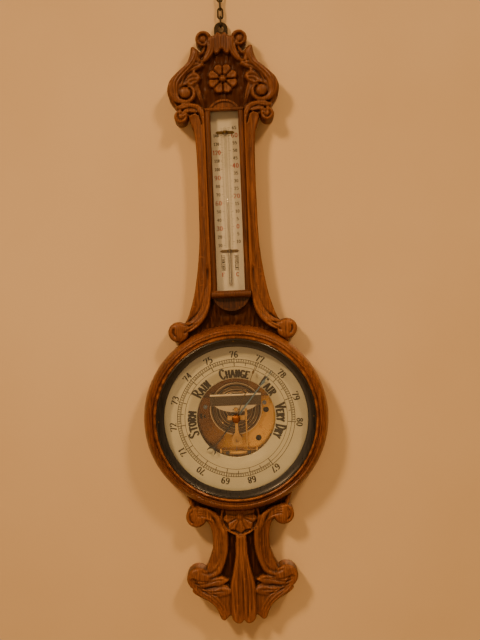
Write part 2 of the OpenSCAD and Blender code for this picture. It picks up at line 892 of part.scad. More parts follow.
module pivot_screws() {
    gap = 1.2;
    ear_t = 1.5;
    color("dimgray") {
        rod_across(shaft_left - gap - ear_t, rocker_depth, rocker_z, gap + ear_t + 1.8, 0.8);
        rod_across(shaft_left - gap - ear_t - 1, rocker_depth, rocker_z, 1, 1.8);
        rod_across(shaft_right - 1.8, rocker_depth, rocker_z, gap + ear_t + 1.8, 0.8);
        rod_across(shaft_right + gap + ear_t, rocker_depth, rocker_z, 1, 1.8);
    }
}

module fusee_chain() {
    top = 0;
    bottom = rocker_z + 0.9;
    color("dimgray") at_depth(rocker_depth + chain_arm - 0.4, 0.8)
        translate([-drum_r - 0.4, bottom]) square([0.4, top - bottom]);
}

arbor_r = 0.6;
arbor_back = 23.4;

module hand_arbor() {
    color("dimgray") {
        rod_forward(0, 0, arbor_back, 37.4 - arbor_back, arbor_r);
        rod_forward(0, 0, 25.8, 1.9, drum_r);
        rod_forward(0, 0, 28.1, 1.2, 1.5);
    }
}

// A flat spiral of five turns from the collet to the outer stud
module hairspring() {
    turns = 5;
    inner_r = 1.7;
    outer_r = 7.4;
    half_t = 0.13;
    steps = turns * 24;
    spiral = [for (i = [0 : steps]) [inner_r + (outer_r - inner_r) * i / steps, i * 15]];
    color("steelblue") at_depth(28.4, 0.6) polygon(concat(
        [for (p = spiral) polar(p[0] + half_t, p[1])],
        [for (i = [steps : -1 : 0]) polar(spiral[i][0] - half_t, spiral[i][1])]));
}

// A pear-shaped plate with a long neck and a crossbar at the arbor
module cock_shape() {
    pear = concat(curve_through([[0, -38.5], [4.5, -37], [7.2, -32], [6.4, -27], [3, -21],
        [2, -14], [2, -3]], 5), [[12, -3], [12, 3]]);
    last = len(pear) - 1;
    polygon(concat(pear, [for (i = [last : -1 : 1]) [-pear[i][0], pear[i][1]]]));
}

module arbor_cock_rear() {
    color("gold") difference() {
        at_depth(24, 1.5) cock_shape();
        rod_forward(0, 0, 20, 20, arbor_r + fit_gap);
        for (x = [-9.5, 9.5])
            rod_forward(x, 0, 20, 20, 0.8);
        for (x = [-4.4, 4.4])
            rod_forward(x, -32, 20, 20, 0.8);
    }
}

module arbor_cock_front() {
    color("gold") difference() {
        at_depth(30, 1.5) cock_shape();
        rod_forward(0, 0, 20, 20, arbor_r + fit_gap);
        for (x = [-9.5, 9.5])
            rod_forward(x, 0, 20, 20, 0.8);
        for (x = [-4.4, 4.4])
            rod_forward(x, -32, 20, 20, 0.8);
        rod_forward(0, -31, 20, 20, 2.6);
    }
}

module cock_pillars() {
    color("gold") {
        for (x = [-9.5, 9.5]) {
            rod_forward(x, 0, 25.5, 4.5, 1.6);
            rod_forward(x, 0, 24, 8.3, 0.8);
        }
        for (x = [-4.4, 4.4]) {
            rod_forward(x, -32, plate_front, 24 - plate_front, 1.8);
            rod_forward(x, -32, 25.5, 4.5, 1.8);
            rod_forward(x, -32, 24, 8.3, 0.8);
        }
    }
}

// ---- the hands ----

// A long tapered hand with a lozenge, and a crescent at the end of its tail
module pointer() {
    tail = 50;
    crescent_r = 6.3;
    color("midnightblue") {
        at_depth(pointer_back, 0.6) rotate(-pointer_angle) difference() {
            union() {
                circle(3.6);
                polygon([[-1.1, 0], [1.1, 0], [0.75, 57.5], [2.1, 61.5], [0.6, 66],
                    [0.3, pointer_len], [-0.3, pointer_len], [-0.6, 66], [-2.1, 61.5], [-0.75, 57.5]]);
                polygon([[-1.1, 0], [-0.7, -tail - 1], [0.7, -tail - 1], [1.1, 0]]);
                difference() {
                    translate([0, -tail - crescent_r]) circle(crescent_r);
                    translate([0, -tail - crescent_r - 2.2]) circle(crescent_r - 1);
                }
            }
            circle(arbor_r);
        }
        at_depth(pointer_back - 0.8, 2) difference() {
            circle(1.8);
            circle(arbor_r);
        }
    }
}

module set_hand() {
    color("gold") {
        at_depth(set_hand_back, 0.5) rotate(-set_hand_angle) difference() {
            union() {
                circle(3.4);
                polygon([[-0.8, 0], [0.8, 0], [0.45, 64], [1.7, 67.5], [0.4, 71],
                    [0.25, set_hand_len], [-0.25, set_hand_len], [-0.4, 71], [-1.7, 67.5],
                    [-0.45, 64]]);
            }
            circle(1.9);
        }
    }
}

module set_knob() {
    neck = glass_front + 0.3;
    color("gold") {
        rod_forward(0, 0, 37.9, neck + 0.5 - 37.9, 1.9);
        turned() polygon(concat([[0, neck], [5.2, neck], [5.2, neck + 0.8], [3.4, neck + 1.6],
            [3.2, neck + 3]], curve_through([[4.6, neck + 3.8], [5.6, neck + 5.6],
            [5.2, neck + 7.8], [3.4, neck + 9.3], [0, neck + 9.9]], 5)));
    }
}

backboard();
dial_surround();
surround_screws();
sight_ring();
sight_ring_pins();
dial_glass();
glass_bush();
dial_ring();
dial_spacer_ring();
dial_backing_ring();
movement_housing();
housing_screws();
back_cover();
back_cover_screws();
frame_stile_left();
frame_stile_right();
frame_rail_top();
frame_sill();
frame_lunette();
frame_apron();
thermometer_glass();
thermometer_plate();
thermometer_tube();
mercury_column();
thermometer_clips();
clip_pins();
hanger_plate();
hanger_screws();
chain_link_1();
chain_link_2();
chain_link_3();
chain_link_4();
wall_hook();
movement_plate();
plate_pillars();
plate_screws();
capsule_rear_diaphragm();
capsule_front_diaphragm();
adjusting_screw();
capsule_post();
bridge();
bridge_screws();
mainspring();
spring_clamp_screws();
knife_edge_pin();
main_lever();
lever_link();
rocker_shaft();
rocker_frame();
rocker_frame_screws();
pivot_screws();
fusee_chain();
hand_arbor();
hairspring();
arbor_cock_rear();
arbor_cock_front();
cock_pillars();
pointer();
set_hand();
set_knob();
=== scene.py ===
"""The looks of the aneroid barometer, built around its CAD frame. Metres; X right, Z up, -Y forwards."""
import json
import math

import bpy
import bmesh
import numpy as np
from mathutils import Matrix, Vector
from mathutils.geometry import delaunay_2d_cdt


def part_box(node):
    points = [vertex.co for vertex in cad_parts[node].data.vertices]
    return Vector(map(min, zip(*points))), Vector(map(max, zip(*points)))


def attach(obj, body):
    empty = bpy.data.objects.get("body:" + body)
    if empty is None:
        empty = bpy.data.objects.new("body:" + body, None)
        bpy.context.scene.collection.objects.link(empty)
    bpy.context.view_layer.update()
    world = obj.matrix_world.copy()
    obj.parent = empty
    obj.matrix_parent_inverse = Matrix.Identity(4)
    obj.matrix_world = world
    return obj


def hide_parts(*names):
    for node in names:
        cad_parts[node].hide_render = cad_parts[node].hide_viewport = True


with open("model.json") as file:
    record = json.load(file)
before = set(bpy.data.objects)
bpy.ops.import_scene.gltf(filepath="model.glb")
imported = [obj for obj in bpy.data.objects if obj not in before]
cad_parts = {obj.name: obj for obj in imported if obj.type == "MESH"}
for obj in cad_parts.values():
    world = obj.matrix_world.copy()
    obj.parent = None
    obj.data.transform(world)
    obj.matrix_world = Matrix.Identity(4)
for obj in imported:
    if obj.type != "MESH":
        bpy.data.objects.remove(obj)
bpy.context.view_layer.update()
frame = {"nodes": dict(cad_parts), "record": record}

MM = 0.001

# ---- the board's measures, in millimetres; heights are above the wall ----

STEP = 0.78                 # spacing of the carved surface's points
GRID_Z = (-287, 539)        # from below the tail to above the crest
GROUND = 24.0               # height of the lowered ground
LOWEST, HIGHEST = 22, 35.5  # limits of the carving's height
EDGE_ROUND = 3.2            # radius of the rounded edge
BORE = 86.0                 # radius of the opening for the movement
COVER_REBATE = (92.3, 1.6)  # rebate of the back cover: radius, depth
RING = 127.0                # outer radius of the turned ring
DISC = 123.0                # radius of the board's own disc behind the ring
INNER_EDGE = 119            # radius where the carving ends, under the ring
SEAT = (24.6, 165.0, 425.0)             # seat of the thermometer frame: half width, bottom, top
LAND = (26.5, 163.0, 427.0)             # the levelled surface around that seat, likewise
POCKET = (20.5, 172.0, 424.0, 15.0)     # pocket of the scale plate: the same, and its floor
HANGER = (11.0, 488.0, 6.0)             # recess of the hanger plate: half width, bottom, depth




# ---- the carved board ----

# the right half of the outline above and below the ring, from the top down
SHOULDER = [(0, 528.5), (4.6, 531.2), (10, 526.5), (20, 522), (28.6, 504.8), (33, 507.5),
            (38.2, 511.5), (42, 511), (44, 500.4), (49.5, 488.9), (60.5, 479.2), (71, 469),
            (76.1, 459.6), (76.9, 450.8), (74.5, 442), (69.8, 434.3), (63, 425), (54, 414),
            (49.5, 416.6), (46, 405), (42.9, 397.1), (40.4, 371.9), (39.8, 337.6), (40, 291.8),
            (40.9, 245.9), (44.1, 211.7), (49.7, 177.3), (55.5, 155.5), (62.4, 137.2),
            (72, 124), (76, 100)]
TAIL = [(74, -100), (62, -134), (47, -141), (40, -154.6), (39, -174.3), (41.2, -186.7),
        (50.2, -207.3), (62, -218), (69.6, -235.9), (61, -243.6), (50, -250.2),
        (41.4, -256.6), (36.1, -264.1), (31.1, -276.1), (26.1, -277.9), (18, -272),
        (15.8, -277.4), (12, -281.2), (7.5, -283.2), (3.5, -282), (0, -278)]
# round ends of the scrolls: x, z, radius
ROUND_ENDS = [(24.5, 522.3, 11), (59.5, 416.3, 9.5), (74.8, 120.4, 14), (60.2, -134.8, 14.3),
              (61, -219.6, 15.6)]
ROSETTE_Z = 466.7
HALF_ROSETTE_Z = -135.5


def spline(points, steps=8):
    """A smooth line through the points."""
    p = np.array(points, float)
    last = len(p) - 1
    t = (np.arange(steps) / steps)[:, None]
    out = []
    for i in range(last):
        a, b, c, d = p[max(i - 1, 0)], p[i], p[i + 1], p[min(i + 2, last)]
        out.append(0.5 * (2 * b + (c - a) * t + (2 * a - 5 * b + 4 * c - d) * t ** 2
                          + (3 * b - a - 3 * c + d) * t ** 3))
    return np.vstack(out + [p[last:]])


def smooth(low, high, x):
    """0 at low, 1 at high, with a gentle start and end."""
    t = np.clip((x - low) / (high - low), 0, 1)
    return t * t * (3 - 2 * t)


def arc(x, z, r, start, end, count):
    """Points on an arc between two angles, in degrees."""
    angles = np.radians(np.linspace(start, end, count))
    return [(x + r * np.cos(a), z + r * np.sin(a)) for a in angles]


def offset_from(q, line):
    """Distance from a line (positive on its left) and the share of its length reached."""
    start = line[:-1]
    run = np.diff(line, axis=0)
    size = np.maximum(np.hypot(run[:, 0], run[:, 1]), 1e-6)
    done = np.concatenate([[0], np.cumsum(size)])
    best = np.full(len(q), 1e9)
    side = np.ones(len(q))
    share = np.zeros(len(q))
    for i in range(len(run)):
        rel = q - start[i]
        t = np.clip(rel @ run[i] / size[i] ** 2, 0, 1)
        off = rel - t[:, None] * run[i]
        dist = np.hypot(off[:, 0], off[:, 1])
        near = dist < best
        best[near] = dist[near]
        side[near] = np.where(run[i, 0] * rel[near, 1] - run[i, 1] * rel[near, 0] < 0, -1, 1)
        share[near] = (done[i] + t[near] * size[i]) / done[-1]
    return best * side, share


def inside(q, shape):
    """Which points lie in a closed shape."""
    x, z = q[:, 0], q[:, 1]
    hit = np.zeros(len(q), bool)
    for (xa, za), (xb, zb) in zip(shape, np.roll(shape, 1, axis=0)):
        if za != zb:
            hit ^= ((za > z) != (zb > z)) & (x < (xb - xa) * (z - za) / (zb - za) + xa)
    return hit


def soft_noise(q, size_x, size_z, seed):
    """Smooth random values from -0.5 to 0.5 at points, with the given grain size."""
    u, v = q[:, 0] / size_x + 500, q[:, 1] / size_z + 500
    i, j = np.floor(u), np.floor(v)
    fu, fv = smooth(0, 1, u - i), smooth(0, 1, v - j)

    def dice(a, b):
        n = np.sin(a * 127.1 + b * 311.7 + seed * 74.7) * 43758.5453
        return n - np.floor(n)

    low = dice(i, j) * (1 - fu) + dice(i + 1, j) * fu
    high = dice(i, j + 1) * (1 - fu) + dice(i + 1, j + 1) * fu
    return low * (1 - fv) + high * fv - 0.5


def spread_along(share, values):
    """Values given at even steps of a line, read at shares of its length."""
    return np.interp(share, np.linspace(0, 1, len(values)), values)


class Carving:
    """Heights above the wall, in millimetres, at points in the right half of the board."""

    def __init__(self, q, height):
        self.q = q
        self.h = height

    def near(self, line, reach):
        """Numbers of the points in the line's box, grown by reach."""
        lo, hi = line.min(0) - reach, line.max(0) + reach
        return np.nonzero(((self.q > lo) & (self.q < hi)).all(1))[0]

    def band(self, points, width, height, crown=1.6, flutes=0, cut=0.9, roll=1.3):
        """A rounded, fluted band along a line. width is half its breadth, height its crown's."""
        line = spline(points)
        k = self.near(line, max(width))
        off, share = offset_from(self.q[k], line)
        w, top = spread_along(share, width), spread_along(share, height)
        on = np.abs(off) < w
        k, off, w, top = k[on], off[on], w[on], top[on]
        top = top - crown * (off / w) ** 2 - roll * smooth(1.5, 0, w - np.abs(off))
        for i in range(flutes):
            middle = w * (2 * (i + 1) / (flutes + 1) - 1)
            top -= cut * np.exp(-((off - middle) / 0.95) ** 2)
        self.h[k] = top

    def cove(self, points, width, edge, floor):
        """A hollow channel, as a round gouge leaves it."""
        line = spline(points)
        k = self.near(line, max(width))
        off, share = offset_from(self.q[k], line)
        w = spread_along(share, width)
        on = np.abs(off) < w
        u = off[on] / w[on]
        self.h[k[on]] = edge - (edge - floor) * np.sqrt(np.clip(1 - u * u, 0, 1))

    def leaf(self, shape, height, roll):
        """A flat raised shape whose edge is rounded down by roll."""
        edge = spline(list(shape) + [shape[0]])
        k = self.near(edge, 1)
        k = k[inside(self.q[k], edge)]
        rim, _ = offset_from(self.q[k], edge)
        self.h[k] = height - roll * smooth(2.4, 0, np.abs(rim))

    def groove(self, points, depth, width, fade):
        """A cut along a line that runs out at both ends."""
        line = spline(points)
        k = self.near(line, 3 * width)
        off, share = offset_from(self.q[k], line)
        end = smooth(0, fade, np.minimum(share, 1 - share))
        self.h[k] -= depth * end * np.exp(-(off / width) ** 2)

    def dome(self, x, z, r, top, rise):
        """A ball's cap that stands up by rise to its top."""
        d = np.hypot(self.q[:, 0] - x, self.q[:, 1] - z) / r
        k = d < 1
        self.h[k] = np.maximum(self.h[k], top - rise + rise * np.sqrt(1 - d[k] ** 2))

    def petals(self, z, count, first, reach, shape, height, fold):
        """Petals round a centre on the axis. shape gives half a petal's width by distance."""
        for i in range(count):
            a = math.radians(first + 360 * i / count)
            along = self.q[:, 0] * math.cos(a) + (self.q[:, 1] - z) * math.sin(a)
            across = np.abs((self.q[:, 1] - z) * math.cos(a) - self.q[:, 0] * math.sin(a))
            k = np.nonzero((along > 3) & (along < reach))[0]
            k = k[across[k] < shape(along[k])]
            rim = shape(along[k]) - across[k]
            self.h[k] = np.maximum(self.h[k], height - 1.9 * smooth(1.9, 0, rim)
                                   - fold(along[k], across[k]))


def inside_depth(q):
    """How far inside the board's outline each point lies; negative outside it."""
    best = DISC - np.hypot(q[:, 0], q[:, 1])
    for x, z, r in ROUND_ENDS:
        best = np.maximum(best, r - np.hypot(q[:, 0] - x, q[:, 1] - z))
    for edge in (SHOULDER, TAIL):
        line = spline(edge)
        shape = np.vstack([[(-9, line[0, 1])], line, [(-9, line[-1, 1])]])
        k = np.nonzero((q[:, 1] > line[:, 1].min() - 6) & (q[:, 1] < line[:, 1].max() + 6))[0]
        rim, _ = offset_from(q[k], line)
        rim = np.where(inside(q[k], shape), np.abs(rim), -np.abs(rim))
        best[k] = np.maximum(best[k], rim)
    return best


def carve_crest(c):
    """Scrolls, leaves and rosette above the thermometer, drawn on the right."""
    c.band([(37.5, 459), (33.5, 447), (30, 435), (27.4, 427)], [4.4, 4.2, 3.4, 3],
           [27.8, 27, 26.4], 1, 1)
    # the body of the big leaf, with its two tips towards the rosette
    c.leaf([(38.4, 509), (31.4, 501), (29, 494), (24.6, 486.6), (30.5, 481.8), (37.4, 478.2),
            (32.4, 474.4), (30, 468.4), (34, 462.6), (39, 459.4), (44, 455), (50, 459), (58, 455),
            (62, 440), (70, 440), (73, 452), (71, 465), (60, 476), (50, 486), (43.5, 498)],
           30.6, 2.2)
    for line in ([(30, 486.8), (38, 485), (47.5, 479), (56, 469), (58.5, 459)],
                 [(31.5, 490.6), (38, 490.4), (45.6, 485.4), (54, 477)],
                 [(34, 482.6), (41, 479.6), (49.6, 472.4), (54.4, 463)],
                 [(33.6, 469.6), (42, 470.2), (48.6, 466.4), (52.6, 459.6)],
                 [(35.4, 465.4), (41.6, 464.8), (46.6, 461.4)]):
        c.groove(line, 1.9, 1.05, 0.12)
    c.groove([(39.6, 478.4), (46, 474.4), (52, 467), (56, 458)], 2.4, 1.2, 0.1)
    # from the ear round into the large scroll
    c.band([(39, 512.5), (39, 501), (44.4, 490.6), (53.4, 482), (61.6, 474), (67.4, 465),
            (68.8, 455.6), (67.4, 446.4), (62.8, 439.8), (54.8, 436.8), (46.6, 438.6),
            (41.8, 443.6), (40.8, 449.6), (43, 455.4), (48.4, 458.4)],
           [5.8, 6.2, 6.4, 6.6, 7.2, 7.8, 8.0, 7.4, 6.2, 4.6, 3.8, 3.5, 3.3, 2.8, 1.6],
           [31.5, 33, 33, 33.4, 33.6, 33.6, 33.4, 33, 33, 32.8, 32.6, 32.4, 32], 1.6, 3, 1.5)
    c.dome(52.2, 449, 8.4, 33.4, 3.6)
    c.groove(arc(51.8, 448.6, 8.0, 100, 310, 18), 3.2, 1.2, 0.2)
    # from the small scroll down beside the leaves
    c.band([(24.6, 531.6), (17.4, 528.4), (14.6, 517.6), (15.6, 506), (20.6, 497), (25.6, 492),
            (31, 489.4)],
           [4.2, 4.8, 5.2, 5.4, 5.0, 3.6, 1.0],
           [33, 33.8, 33.8, 33.6, 33.2, 32.6, 31], 1.7, 2, 1.5)
    c.band(arc(24.5, 522.3, 8.0, 150, -120, 15), [3.6, 3.6, 3.6, 3.4, 3.2],
           [33.4, 33.4, 33, 32.6], 1.4)
    c.dome(25.0, 521.2, 6.2, 33.2, 3)
    c.groove(arc(25.0, 521.4, 5.8, 215, -120, 16), 3.0, 1.15, 0.1)
    # leaves at the top, with their flutes
    c.leaf([(-6, 525.5), (0, 528.5), (4.6, 532), (9.6, 529), (10.6, 516.2), (10.4, 503.6),
            (8.9, 500.6), (5.6, 501.6), (3, 503.6), (0, 506.8), (-6, 503)], 32.4, 1.8)
    for x, foot in ((3.3, 504), (6.8, 502)):
        c.groove([(x, 534), (x + 0.5, 518), (x - 0.4, foot)], 2.4, 1.1, 0.06)
    c.groove([(0, 536), (0, 520), (0, 505)], 2.6, 1.1, 0.03)
    # capital at the head of the neck
    c.band([(28.6, 404), (29.2, 413), (31.2, 422), (38.2, 428.6), (48, 430.2), (58, 429.6),
            (64.6, 426.5)],
           [2.2, 3.2, 4.4, 4.8, 4.6, 4.2, 3.8], [31.8, 32, 32, 32, 32.4, 32.8, 33], 1.6, 1, 0.8)
    c.band(arc(59.2, 416.8, 6.4, 78, -200, 14), [3.8, 3.8, 3.6, 3.4, 3], [32.8, 32.6, 32.4], 1.4)
    c.dome(58.8, 416.6, 5.0, 32.8, 2.6)
    c.groove(arc(58.8, 416.8, 4.9, 60, -200, 14), 2.8, 1.15, 0.1)
    c.band([(39, 423), (46.5, 424.8), (53, 423.6), (57, 419.6)], [2.8, 3.6, 3.4, 2.0],
           [31, 32, 32.6, 32.4], 1.5, 1, 1.2)
    c.groove([(35, 424.4), (42, 427.4), (52, 427), (60.5, 424)], 1.4, 1.0, 0.12)
    # rosette
    c.petals(ROSETTE_Z, 8, 22.5, 20.7,
             lambda s: np.minimum(0.414 * s - 0.3,
                                  np.sqrt(np.clip(50 - np.clip(s - 13.6, 0, 9) ** 2, 0, 99))),
             29.8, lambda s, t: 0.9 * np.exp(-((s - 12) / 5) ** 2 - (t / 3.4) ** 2))
    c.groove(arc(0, ROSETTE_Z, 5.8, -95, 275, 24), 2.2, 1.2, 0.01)
    c.dome(0, ROSETTE_Z, 4.9, 32, 4)


def carve_neck(c):
    """The hollow beside the thermometer and the scroll that it runs into."""
    c.cove([(41, 412.5), (39, 405), (37.0, 397), (35.6, 372), (35.0, 338), (35.2, 292),
            (36.1, 246), (38.6, 212), (42.8, 180), (47.6, 158), (52.4, 145), (58.8, 135)],
           [7.4, 6.8, 6.2, 5.6, 5.5, 5.6, 5.7, 6.0, 6.3, 6.6, 6.6, 4.4], 31.4, 28.8)
    c.band([(29.0, 414), (28.4, 397), (28.2, 372), (28.1, 338), (28.1, 292), (28.3, 246),
            (29.0, 212), (30.8, 185), (33.8, 165), (39.4, 147), (48.5, 134.6), (60, 127),
            (72, 125)],
           [2.4, 2.1, 2.0, 2.0, 2.0, 2.2, 2.7, 3.5, 4.3, 5.2, 6.2, 6.8, 7.2],
           [31.8, 31.6, 31.6, 31.6, 31.6, 31.6, 31.8, 32, 32, 32, 32.4, 33, 33], 1.0)
    c.dome(74.8, 120.4, 14, 33.6, 4.4)
    for out in (-2.4, 0.6, 3.6):
        c.groove([(30.4 + out * 0.3, 215), (32.4 + out * 0.6, 184), (36.4 + out, 160.5),
                  (43.6 + out * 0.8, 145 + out * 0.5), (55 + out * 0.4, 134 + out * 0.9),
                  (70, 126 + out * 1.1)], 2.4, 1.3, 0.14)
    c.groove([(47, 132.6), (58, 124.0), (69, 117.6)], 2.0, 1.2, 0.15)
    c.groove([(80.5, 127.4), (81.8, 119.5), (77.6, 112.4)], 2.6, 1.4, 0.22)
    c.groove([(68.5, 131.5), (60.1, 128.6), (51.6, 131.2)], 2.2, 1.0, 0.2)


def carve_tail(c):
    """Scrolls, leaves and stem below the dial, drawn on the right."""
    c.leaf([(40, -134), (56, -120), (74, -126), (74, -146), (60, -149), (48, -141)], 29, 1)
    c.leaf([(22, -178), (36, -182), (54, -200), (60, -216), (46, -222), (32, -216), (24, -200)],
           29.8, 1.2)
    c.cove([(49, -209), (43.5, -201), (37.6, -189), (34.6, -173), (36, -157), (45, -143)],
           [6.0, 8.6, 9.6, 9.4, 8.8, 7.0], 31.6, 28.4)
    c.band([(54, -214.5), (44.5, -216.8), (33.5, -210.5), (25.8, -195), (21.8, -174.5),
            (22.8, -156), (28.6, -143.4), (37.2, -135.2), (49, -130), (60.8, -129)],
           [2.2, 3.2, 3.8, 4.0, 4.0, 4.2, 5.2, 6.6, 7.6, 8.4],
           [30.8, 31.4, 31.8, 32, 32, 32, 32.4, 32.8, 33, 33], 1.4)
    c.dome(60.2, -134.8, 14.3, 33.6, 4.6)
    for out in (-2.2, 0.6, 3.4, 6.2):
        c.groove([(31.5 + out * 0.5, -146 + out), (38.5 + out * 0.2, -137.5 + out * 0.9),
                  (49, -131.5 + out), (61, -130 + out * 1.3)], 1.9, 1.2, 0.14)
    c.groove([(63.6, -123.4), (69.2, -130.9), (68.2, -138.6), (63.3, -144)], 3.0, 1.4, 0.2)
    # leaf tips and the lower lobe
    c.leaf([(66, -216), (50, -222), (36, -224), (22, -230), (14, -240), (14, -262), (18, -276),
            (26, -274), (38, -262), (52, -250), (66, -240)], 29.4, 1.2)
    c.leaf([(62, -228), (54, -233.5), (41, -234.8), (29.5, -231.4), (18.4, -234.6),
            (14.6, -238.6), (20.2, -243.6), (32, -246), (46, -242), (62, -240)],
           31.2, 1.8)
    c.leaf([(60, -213), (54, -219.6), (43, -220.4), (30, -217.0), (21.6, -220.4),
            (19.6, -224), (30, -229.8), (44, -231), (60, -233)], 31.8, 1.8)
    c.dome(61, -219.6, 15.6, 33.6, 3.8)
    c.band([(68, -224), (66, -231), (58.6, -238.4), (47.6, -246.6), (38.6, -254.6), (32.4, -263.4),
            (28.6, -271), (26, -278)],
           [5.8, 7.0, 7.8, 8.4, 8.8, 8.6, 7.4, 5.4], [33, 33, 32.6, 32.2, 32, 31.8, 31.4], 1.6, 3,
           1.8)
    for line in ([(72, -221), (62, -226.6), (48, -225.6), (35, -222.6), (24, -222.8)],
                 [(66, -219.6), (57, -222.8), (46, -223.2), (38, -220.2)],
                 [(70, -227.6), (58, -232.6), (46, -232.4), (33, -230.6)],
                 [(68, -231.4), (55, -236.6), (42, -238.6), (30, -237.8), (21, -238.8)],
                 [(62, -236), (50, -240), (38, -242.8), (28, -242.2)]):
        c.groove(line, 1.7, 1.0, 0.2)
    c.groove([(58.5, -206.5), (53.5, -211.6), (45, -212.6), (37, -207)], 1.6, 1.3, 0.25)
    # central stem
    c.leaf([(-7, -160), (6.3, -160), (8.2, -186), (12.6, -211), (17.2, -230), (17.4, -248),
            (17.8, -268), (16.4, -278), (9, -284.5), (-3, -279), (-7, -240)], 32.6, 2.4)
    for line in ([(2.2, -160), (3.4, -186.5), (5.2, -211), (6.4, -233), (5.9, -262), (5.4, -280)],
                 [(5.0, -172), (7.4, -200), (10.9, -222), (12.2, -245), (11.4, -270)]):
        c.groove(line, 1.8, 1.0, 0.1)
    c.groove([(0, -205), (0, -240), (0, -288)], 2.2, 1.1, 0.3)
    # half rosette under the ring
    out = np.hypot(c.q[:, 0], c.q[:, 1] - HALF_ROSETTE_Z)
    c.h[out < 27.4] = 25.8
    rim = (out > 24) & (out < 27.4)
    c.h[rim] = 29.8 - 1.6 * ((out[rim] - 25.7) / 1.7) ** 2
    c.petals(HALF_ROSETTE_Z, 9, -90, 24, lambda s: np.minimum(0.364 * s, 30 - 1.22 * s),
             29.2, lambda s, t: 1.3 * np.exp(-(t / 0.6) ** 2))
    c.dome(0, HALF_ROSETTE_Z, 5.5, 30, 2)


def carve(q, depth):
    """The board's finished heights at points with the given depth inside the outline."""
    # a punched ground that rises to a border along the outline
    gouges = 2.4 * soft_noise(q, 2.6, 9, 1) + 1.2 * soft_noise(q, 5, 9, 2)
    border = 4.6 * smooth(7, 2, depth)
    c = Carving(q, GROUND + 0.5 + gouges + border)
    carve_crest(c)
    carve_neck(c)
    carve_tail(c)
    # tool marks over everything, then the rounded edge and the flats for the frame and the ring
    c.h += 0.35 * soft_noise(q, 2.2, 16, 3) + 0.3 * soft_noise(q, 6, 6, 4)
    edge = np.clip(depth, 0, EDGE_ROUND)
    drop = EDGE_ROUND - np.sqrt(np.clip(EDGE_ROUND ** 2 - (EDGE_ROUND - edge) ** 2, 0, None))
    h = np.maximum(c.h - drop, LOWEST)
    half, low, high = LAND
    land = (q[:, 0] < half) & (q[:, 1] > low) & (q[:, 1] < high)
    h[land | (np.hypot(q[:, 0], q[:, 1]) < RING + 0.5)] = GROUND
    return np.minimum(h, HIGHEST)


class Shell:
    """Vertices as (x, z, height above the wall) in millimetres, and faces that share them."""

    def __init__(self):
        self.points = []
        self.faces = []

    def add(self, xz, height):
        """New vertices at one height, or at one height each. Returns their numbers."""
        first = len(self.points)
        heights = np.broadcast_to(height, (len(xz),))
        self.points += [(float(p[0]), float(p[1]), float(h)) for p, h in zip(xz, heights)]
        return list(range(first, len(self.points)))

    def places(self, numbers):
        """The (x, z) of some vertices."""
        return np.array([self.points[i][:2] for i in numbers])

    def wall(self, upper, lower, closed=True):
        """A strip of faces between two rows of vertices."""
        count = len(upper)
        for i in range(count if closed else count - 1):
            j = (i + 1) % count
            self.faces.append((upper[i], upper[j], lower[j], lower[i]))

    def sheet(self, outer, holes=()):
        """A flat sheet inside one loop of vertices and outside the others."""
        loops = [outer, *holes]
        flat = [i for loop in loops for i in loop]
        edges, start = [], 0
        for loop in loops:
            edges += [(start + i, start + (i + 1) % len(loop)) for i in range(len(loop))]
            start += len(loop)
        xz = [Vector(self.points[i][:2]) for i in flat]
        points, _, tris, came, _, _ = delaunay_2d_cdt(xz, edges, [], 0, 1e-7)
        number = [flat[c[0]] for c in came]
        middle = np.array([[(points[a][k] + points[b][k] + points[c][k]) / 3 for k in (0, 1)]
                           for a, b, c in tris])
        keep = inside(middle, self.places(outer))
        for hole in holes:
            keep &= ~inside(middle, self.places(hole))
        self.faces += [tuple(number[v] for v in t) for t, ok in zip(tris, keep) if ok]


def ring_points(r, count=200):
    a = np.linspace(0, 2 * math.pi, count, endpoint=False)
    return np.stack([r * np.cos(a), r * np.sin(a)], 1)


def box_points(half, low, high):
    """The corners of an upright rectangle about the axis, anticlockwise."""
    return np.array([(-half, low), (half, low), (half, high), (-half, high)])


def soften(grid):
    """A grid averaged with its neighbours."""
    pad = np.pad(grid, 1, mode="edge")
    rows = (pad[:-2] + 2 * pad[1:-1] + pad[2:]) / 4
    return (rows[:, :-2] + 2 * rows[:, 1:-1] + rows[:, 2:]) / 4


def surface_grid():
    """Over the whole board: xs, zs, heights, how far inside the carving and inside the outline."""
    xs = np.arange(0, DISC + 2, STEP)
    zs = np.arange(*GRID_Z, STEP)
    x, z = np.meshgrid(xs, zs, indexing="ij")
    q = np.stack([x.ravel(), z.ravel()], 1)
    depth = inside_depth(q)
    half, low, high = SEAT
    off_seat = np.maximum(q[:, 0] - half, np.abs(q[:, 1] - (low + high) / 2) - (high - low) / 2)
    off_dial = np.hypot(q[:, 0], q[:, 1]) - INNER_EDGE
    carved = np.minimum(np.minimum(depth, off_dial), off_seat)

    def mirrored(values):
        grid = values.reshape(x.shape)
        return np.vstack([grid[:0:-1], grid])

    height = soften(mirrored(carve(q, depth)))
    return np.concatenate([-xs[:0:-1], xs]), zs, height, mirrored(carved), mirrored(depth)


